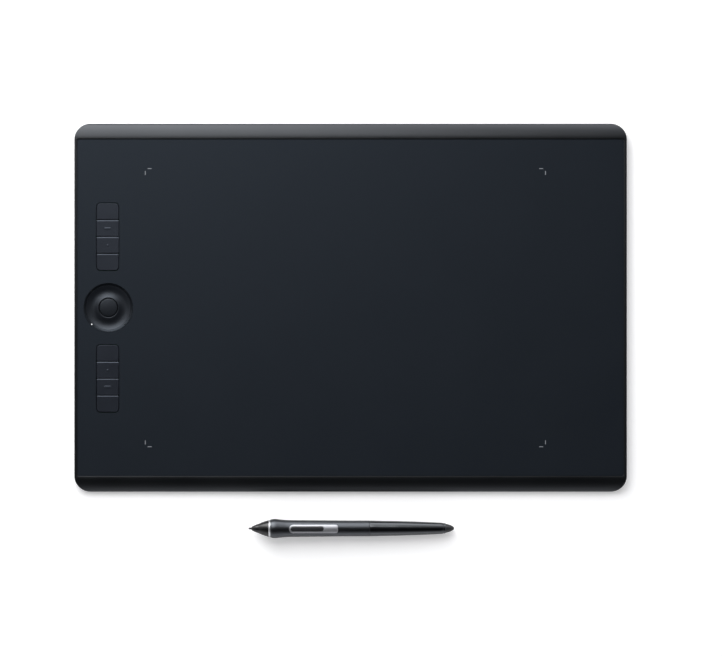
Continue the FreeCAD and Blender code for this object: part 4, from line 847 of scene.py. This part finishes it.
spring_steel = finish("spring_steel", (150, 152, 154), (176, 178, 180), (0.28, 0.4),
                      cloud=60, metallic=1.0)
pressers = [f"{block}_key_{number}" for block in ("upper", "lower") for number in (1, 2, 3, 4)]
pressers.append("ring_button")
for x, y, foot, top in islands("key_domes"):
    low, high = foot / MM, top / MM
    cap = [(0, low), (DOME_RADIUS, low), (DOME_RADIUS, low + DOME_RIM)]
    cap += [(DOME_RADIUS * math.cos(angle),
             low + DOME_RIM + (high - low - DOME_RIM) * math.sin(angle))
            for angle in quarter(DOME_STEPS)]
    presser = min(pressers, key=lambda name: gap_to(name, x, y))
    dome = settle(presser + "_dome", lathe(cap, 24, Matrix.Translation((x, y, 0))), spring_steel,
                  "tablet", 50)
    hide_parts("key_domes")
    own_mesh(dome)


# --------------------
# Pen nib, nose and ring: an acetal nib in a turned black cone, and a bright plated ring that
# parts the cone from the grip. The pen lies on its grip, so its tail is slightly lower.
BULGE_X, BULGE_RADIUS, GRIP_END, GRIP_END_RADIUS = 20.2, 7.5, 94.5, 6.15
PEN_RISE = (BULGE_RADIUS - GRIP_END_RADIUS) / (GRIP_END - BULGE_X)
PEN_TILT = math.atan(PEN_RISE)
TIP_X, TIP_Y = -79.4, -153.925
TIP_HEIGHT = (BULGE_RADIUS + PEN_RISE * BULGE_X) / math.sqrt(1 + PEN_RISE ** 2)
PEN_PLACE = (Matrix.Translation((TIP_X * MM, TIP_Y * MM, TIP_HEIGHT * MM))
             @ Matrix.Rotation(PEN_TILT, 4, "Y"))
NIB_RADIUS, NIB_END, NIB_STEPS = 0.8, 21.8, 10


def smooth_run(knots, step):
    """Points along a smooth line through the knots, which never swings past them."""
    xs, ys = [k[0] for k in knots], [k[1] for k in knots]
    slopes = [(ys[i + 1] - ys[i]) / (xs[i + 1] - xs[i]) for i in range(len(xs) - 1)]
    tangents = [slopes[0]]
    for before, after in zip(slopes, slopes[1:]):
        tangents.append(0 if before * after <= 0 else 2 * before * after / (before + after))
    tangents.append(slopes[-1])
    points = []
    for i in range(len(xs) - 1):
        span = xs[i + 1] - xs[i]
        count = max(2, round(span / step))
        for k in range(count):
            t = k / count
            points.append((xs[i] + span * t, (2 * t ** 3 - 3 * t ** 2 + 1) * ys[i]
                           + (t ** 3 - 2 * t ** 2 + t) * span * tangents[i]
                           + (-2 * t ** 3 + 3 * t ** 2) * ys[i + 1]
                           + (t ** 3 - t ** 2) * span * tangents[i + 1]))
    points.append((xs[-1], ys[-1]))
    return points


def pen_turned(name, outside, inside, material, body, node, steps=112, smooth_angle=35):
    """A turned piece of the pen from its outer line and its bore, both as (x, radius)."""
    line = [(radius, x) for x, radius in outside] + [(radius, x) for x, radius in reversed(inside)]
    shell = lathe(line + line[:1], steps, PEN_PLACE, along_x=True)
    piece = settle(name, shell, material, body, smooth_angle)
    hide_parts(node)
    return piece


nib_acetal = finish("nib_acetal", (22, 22, 23), (30, 30, 31), (0.4, 0.5), cloud=300)
nib_line = [(0, 0.0)] + [(NIB_RADIUS - NIB_RADIUS * math.cos(angle), NIB_RADIUS * math.sin(angle))
                         for angle in quarter(NIB_STEPS)]
nib_line += [(NIB_END, NIB_RADIUS), (NIB_END, 0.0)]
nib_shell = lathe([(radius, x) for x, radius in nib_line], 48, PEN_PLACE, along_x=True)
nib = settle("nib_point", nib_shell, nib_acetal, "pen_nib", 40)
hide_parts("pen_nib")

nose_gloss = finish("nose_gloss", (5, 5, 5), (8, 8, 8), (0.2, 0.28), bump=0.05,
                    cloud=120, pits=5000)
nose_line = smooth_run([(2.35, 1.3), (2.6, 1.5), (5.8, 3.02), (7.4, 3.55), (9, 4.25),
                        (10.5, 4.88), (12, 5.42), (13.6, 5.95), (15.3, 6.42), (15.6, 6.45)], 0.4)
pen_turned("nose_cone", nose_line, [(2.35, 1.0), (11.1, 1.0), (11.1, 3.4), (15.6, 4.4)],
           nose_gloss, "pen", "pen_nose")
bright_plate = finish("bright_plate", (186, 187, 189), (204, 205, 207), (0.3, 0.38),
                      cloud=200, metallic=1.0)
pen_turned("bright_ring", [(15.6, 6.45), (15.68, 6.52), (16.25, 6.8), (16.8, 6.98), (16.9, 6.92)],
           [(15.6, 4.4), (16.9, 4.4)], bright_plate, "pen", "pen_ring")


# --------------------
# Pen grip: a soft rubber sleeve, fat behind the ring and slim at the rear, with an opening for
# the side switch and its plate.
GRIP_KNOTS = [(16.9, 6.86), (17.6, 7.14), (18.6, 7.4), (BULGE_X, BULGE_RADIUS), (21.6, 7.44),
              (23, 7.28), (26, 6.98), (29.2, 6.68), (32.3, 6.55), (40, 6.49), (55.6, 6.35),
              (71, 6.22), (80, 6.16), (94.2, GRIP_END_RADIUS), (GRIP_END, 5.98)]
GRIP_FRONT, GRIP_BORE = 16.9, 4.4
PLATE_FRONT, PLATE_REAR, PLATE_HALF, PLATE_CORNER, PLATE_GAP = 31.5, 69.5, 3.3, 1.8, 0.1
grip_line = smooth_run(GRIP_KNOTS, 0.7)


def grip_radius(x):
    """The sleeve's outer radius at a distance from the pen's tip."""
    for (x0, r0), (x1, r1) in zip(grip_line, grip_line[1:]):
        if x0 <= x <= x1:
            return r0 + (r1 - r0) * (x - x0) / (x1 - x0)
    return grip_line[-1][1]


def plate_outline(gap, steps=14):
    """The switch plate seen from above: full round in front, with small corners behind."""
    start, end = PLATE_FRONT - gap, PLATE_REAR + gap
    half, corner = PLATE_HALF + gap, PLATE_CORNER + gap
    points = [(start + half - half * math.sin(math.pi * k / (2 * steps)),
               half * math.cos(math.pi * k / (2 * steps))) for k in range(2 * steps + 1)]
    for y, first in ((-half + corner, -math.pi / 2), (half - corner, 0)):
        points += [(end - corner + corner * math.cos(first + math.pi / 2 * k / steps),
                    y + corner * math.sin(first + math.pi / 2 * k / steps))
                   for k in range(steps + 1)]
    return points


grip_rubber = finish("grip_rubber", (3, 3, 4), (6, 6, 7), (0.3, 0.38), bump=0.15,
                     cloud=150, pits=3000, specular_ior_level=0.9,
                     specular_tint=(0.86, 0.92, 1.0, 1))
grip_profile = [(radius, x) for x, radius in grip_line]
grip_profile += [(GRIP_BORE, GRIP_END), (GRIP_BORE, GRIP_FRONT)]
grip_shell = lathe(grip_profile + grip_profile[:1], 128, Matrix.Identity(4), along_x=True)
grip = settle("grip_sleeve", grip_shell, grip_rubber, None)
cut(grip, settle("window", prism(plate_outline(PLATE_GAP), 1.0, 9.0), grip_rubber, None))
grip = settle("grip_sleeve", reopened(grip), grip_rubber, "pen", 35, PEN_PLACE)
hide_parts("pen_grip")


# --------------------
# Side switch: a dark two-way rocker with a dip for the fingertip, in a satin silver plate.
# Both are curved to the grip, and stand a little proud of it.
ROCKER_X, ROCKER_LENGTH, ROCKER_WIDTH, ROCKER_FOOT = 45.6, 25.4, 3.6, 3.7
HOLE_LENGTH, HOLE_WIDTH, PLATE_STEPS = 25.8, 4.0, 144
DIP_X, DIP_DEPTH, DIP_REACH = 41.2, 0.22, 1.6


def resample(points, count):
    """The same closed outline cut into even steps, from the point nearest the front end."""
    loop = points + points[:1]
    lengths = [math.dist(a, b) for a, b in zip(loop, loop[1:])]
    total, result = sum(lengths), []
    for k in range(count):
        goal, index = total * k / count, 0
        while goal > lengths[index] and index < len(lengths) - 1:
            goal -= lengths[index]
            index += 1
        part = goal / lengths[index] if lengths[index] else 0
        a, b = loop[index], loop[index + 1]
        result.append((a[0] + (b[0] - a[0]) * part, a[1] + (b[1] - a[1]) * part))
    start = min(range(count), key=lambda k: (round(result[k][0], 3), abs(result[k][1])))
    return result[start:] + result[:start]


def turning(ring):
    """Twice the area in a closed outline, negative where it runs clockwise."""
    return sum(a[0] * b[1] - b[0] * a[1] for a, b in zip(ring, ring[1:] + ring[:1]))


def on_skin(x, y, proud):
    """The point over (x, y) that stands proud of the grip."""
    radius = grip_radius(x) + proud
    return (x, y, math.sqrt(radius ** 2 - y ** 2))


def plate_rings():
    """Rings from the plate's outer wall, over its face, and down the wall of its opening."""
    outside = resample(plate_outline(0.0), PLATE_STEPS)
    hole = slot_outline(ROCKER_X, 0.0, HOLE_LENGTH, HOLE_WIDTH, 16)
    if turning(hole) * turning(outside) < 0:
        hole.reverse()
    inside = resample(hole, PLATE_STEPS)

    def between(part, proud):
        return [on_skin(a[0] + (b[0] - a[0]) * part, a[1] + (b[1] - a[1]) * part, proud)
                for a, b in zip(outside, inside)]

    rings = [between(0, -0.9), between(0, 0.05), between(0.012, 0.15), between(0.04, 0.2)]
    rings += [between(part, 0.2) for part in (0.15, 0.3, 0.45, 0.6, 0.75, 0.9, 0.96)]
    rings += [between(0.99, 0.15), between(1, 0.05), between(1, -0.9)]
    return rings


plate_silver = finish("plate_silver", (160, 161, 165), (178, 180, 184), (0.38, 0.48),
                      cloud=250, metallic=0.85)
plate = settle("switch_plate", ring_mesh(plate_rings(), closed=True), plate_silver, "pen", 40,
               PEN_PLACE)
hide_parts("switch_bezel")


def rocker_rings():
    """Rings of the rocker from its foot up over its crowned face to its middle line."""
    def stadium(inset):
        return slot_outline(ROCKER_X, 0.0, ROCKER_LENGTH - 2 * inset,
                            max(ROCKER_WIDTH - 2 * inset, 0.02), 16)

    rings = [[(x, y, ROCKER_FOOT) for x, y in stadium(0)]]
    for inset, proud in ((0, 0.1), (0.05, 0.22), (0.15, 0.3), (0.3, 0.34), (0.6, 0.35),
                         (0.9, 0.35), (1.2, 0.35), (1.5, 0.35), (1.75, 0.35)):
        rings.append([on_skin(x, y, proud - DIP_DEPTH * math.exp(-((x - DIP_X) / DIP_REACH) ** 2))
                      for x, y in stadium(inset)])
    return rings


rocker_plastic = finish("rocker_plastic", (28, 29, 31), (36, 37, 40), (0.3, 0.38), bump=0.1,
                        cloud=200, pits=4000)
rocker = settle("side_rocker", ring_mesh(rocker_rings(), cap_first=True, cap_last=True),
                rocker_plastic, "side_switch", 40, PEN_PLACE)
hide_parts("side_switch")


# --------------------
# Pen rear: a glossier tapered barrel behind the grip, a short collar pushed into its end, and
# the rubber eraser that slides in the collar.
COLLAR_END, ERASER_FRONT, ERASER_STEM = 153.4, 146.6, 1.5
ERASER_CAP_X, ERASER_CAP_RADIUS, ERASER_CAP_DEPTH, ERASER_STEPS = 159.1, 1.42, 0.9, 8
barrel_gloss = finish("barrel_gloss", (6, 6, 8), (9, 9, 11), (0.15, 0.21), bump=0.04,
                      cloud=100, pits=5000, specular_ior_level=0.9,
                      specular_tint=(0.9, 0.95, 1.0, 1))
barrel_line = smooth_run([(GRIP_END, 6.12), (94.7, 6.13), (102.3, 5.96), (108.5, 5.83),
                          (114.8, 5.74), (121, 5.56), (127, 5.38), (133.4, 5.16), (139.7, 4.9),
                          (146, 4.6), (151.0, 4.34), (151.5, 4.12)], 1.2)
pen_turned("rear_barrel", barrel_line, [(GRIP_END, 3.4), (151.5, 3.4)], barrel_gloss, "pen",
           "pen_barrel")
pen_turned("rear_collar", [(147.6, 3.35), (151.6, 3.35), (151.6, 3.95), (151.75, 4.12),
                           (153.2, 4.02), (COLLAR_END, 3.85)],
           [(147.6, 1.6), (152.0, 1.6), (152.0, 3.6), (COLLAR_END, 3.6)], barrel_gloss, "pen",
           "eraser_collar")
eraser_satin = finish("eraser_satin", (24, 25, 27), (32, 33, 35), (0.36, 0.44), bump=0.15,
                      cloud=150, pits=3000)
eraser_line = [(ERASER_FRONT, 0.0), (ERASER_FRONT, ERASER_STEM), (152.6, ERASER_STEM),
               (152.6, 3.48)]
eraser_line += smooth_run([(153.9, 3.44), (155.2, 3.16), (156.8, 2.68), (158.3, 1.98),
                           (ERASER_CAP_X, ERASER_CAP_RADIUS)], 0.4)
eraser_line += [(ERASER_CAP_X + ERASER_CAP_DEPTH * math.sin(angle),
                 ERASER_CAP_RADIUS * math.cos(angle)) for angle in quarter(ERASER_STEPS)]
eraser_shell = lathe([(radius, x) for x, radius in eraser_line], 96, PEN_PLACE, along_x=True)
eraser = settle("eraser_tip", eraser_shell, eraser_satin, "pen_eraser", 40)
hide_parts("pen_eraser")
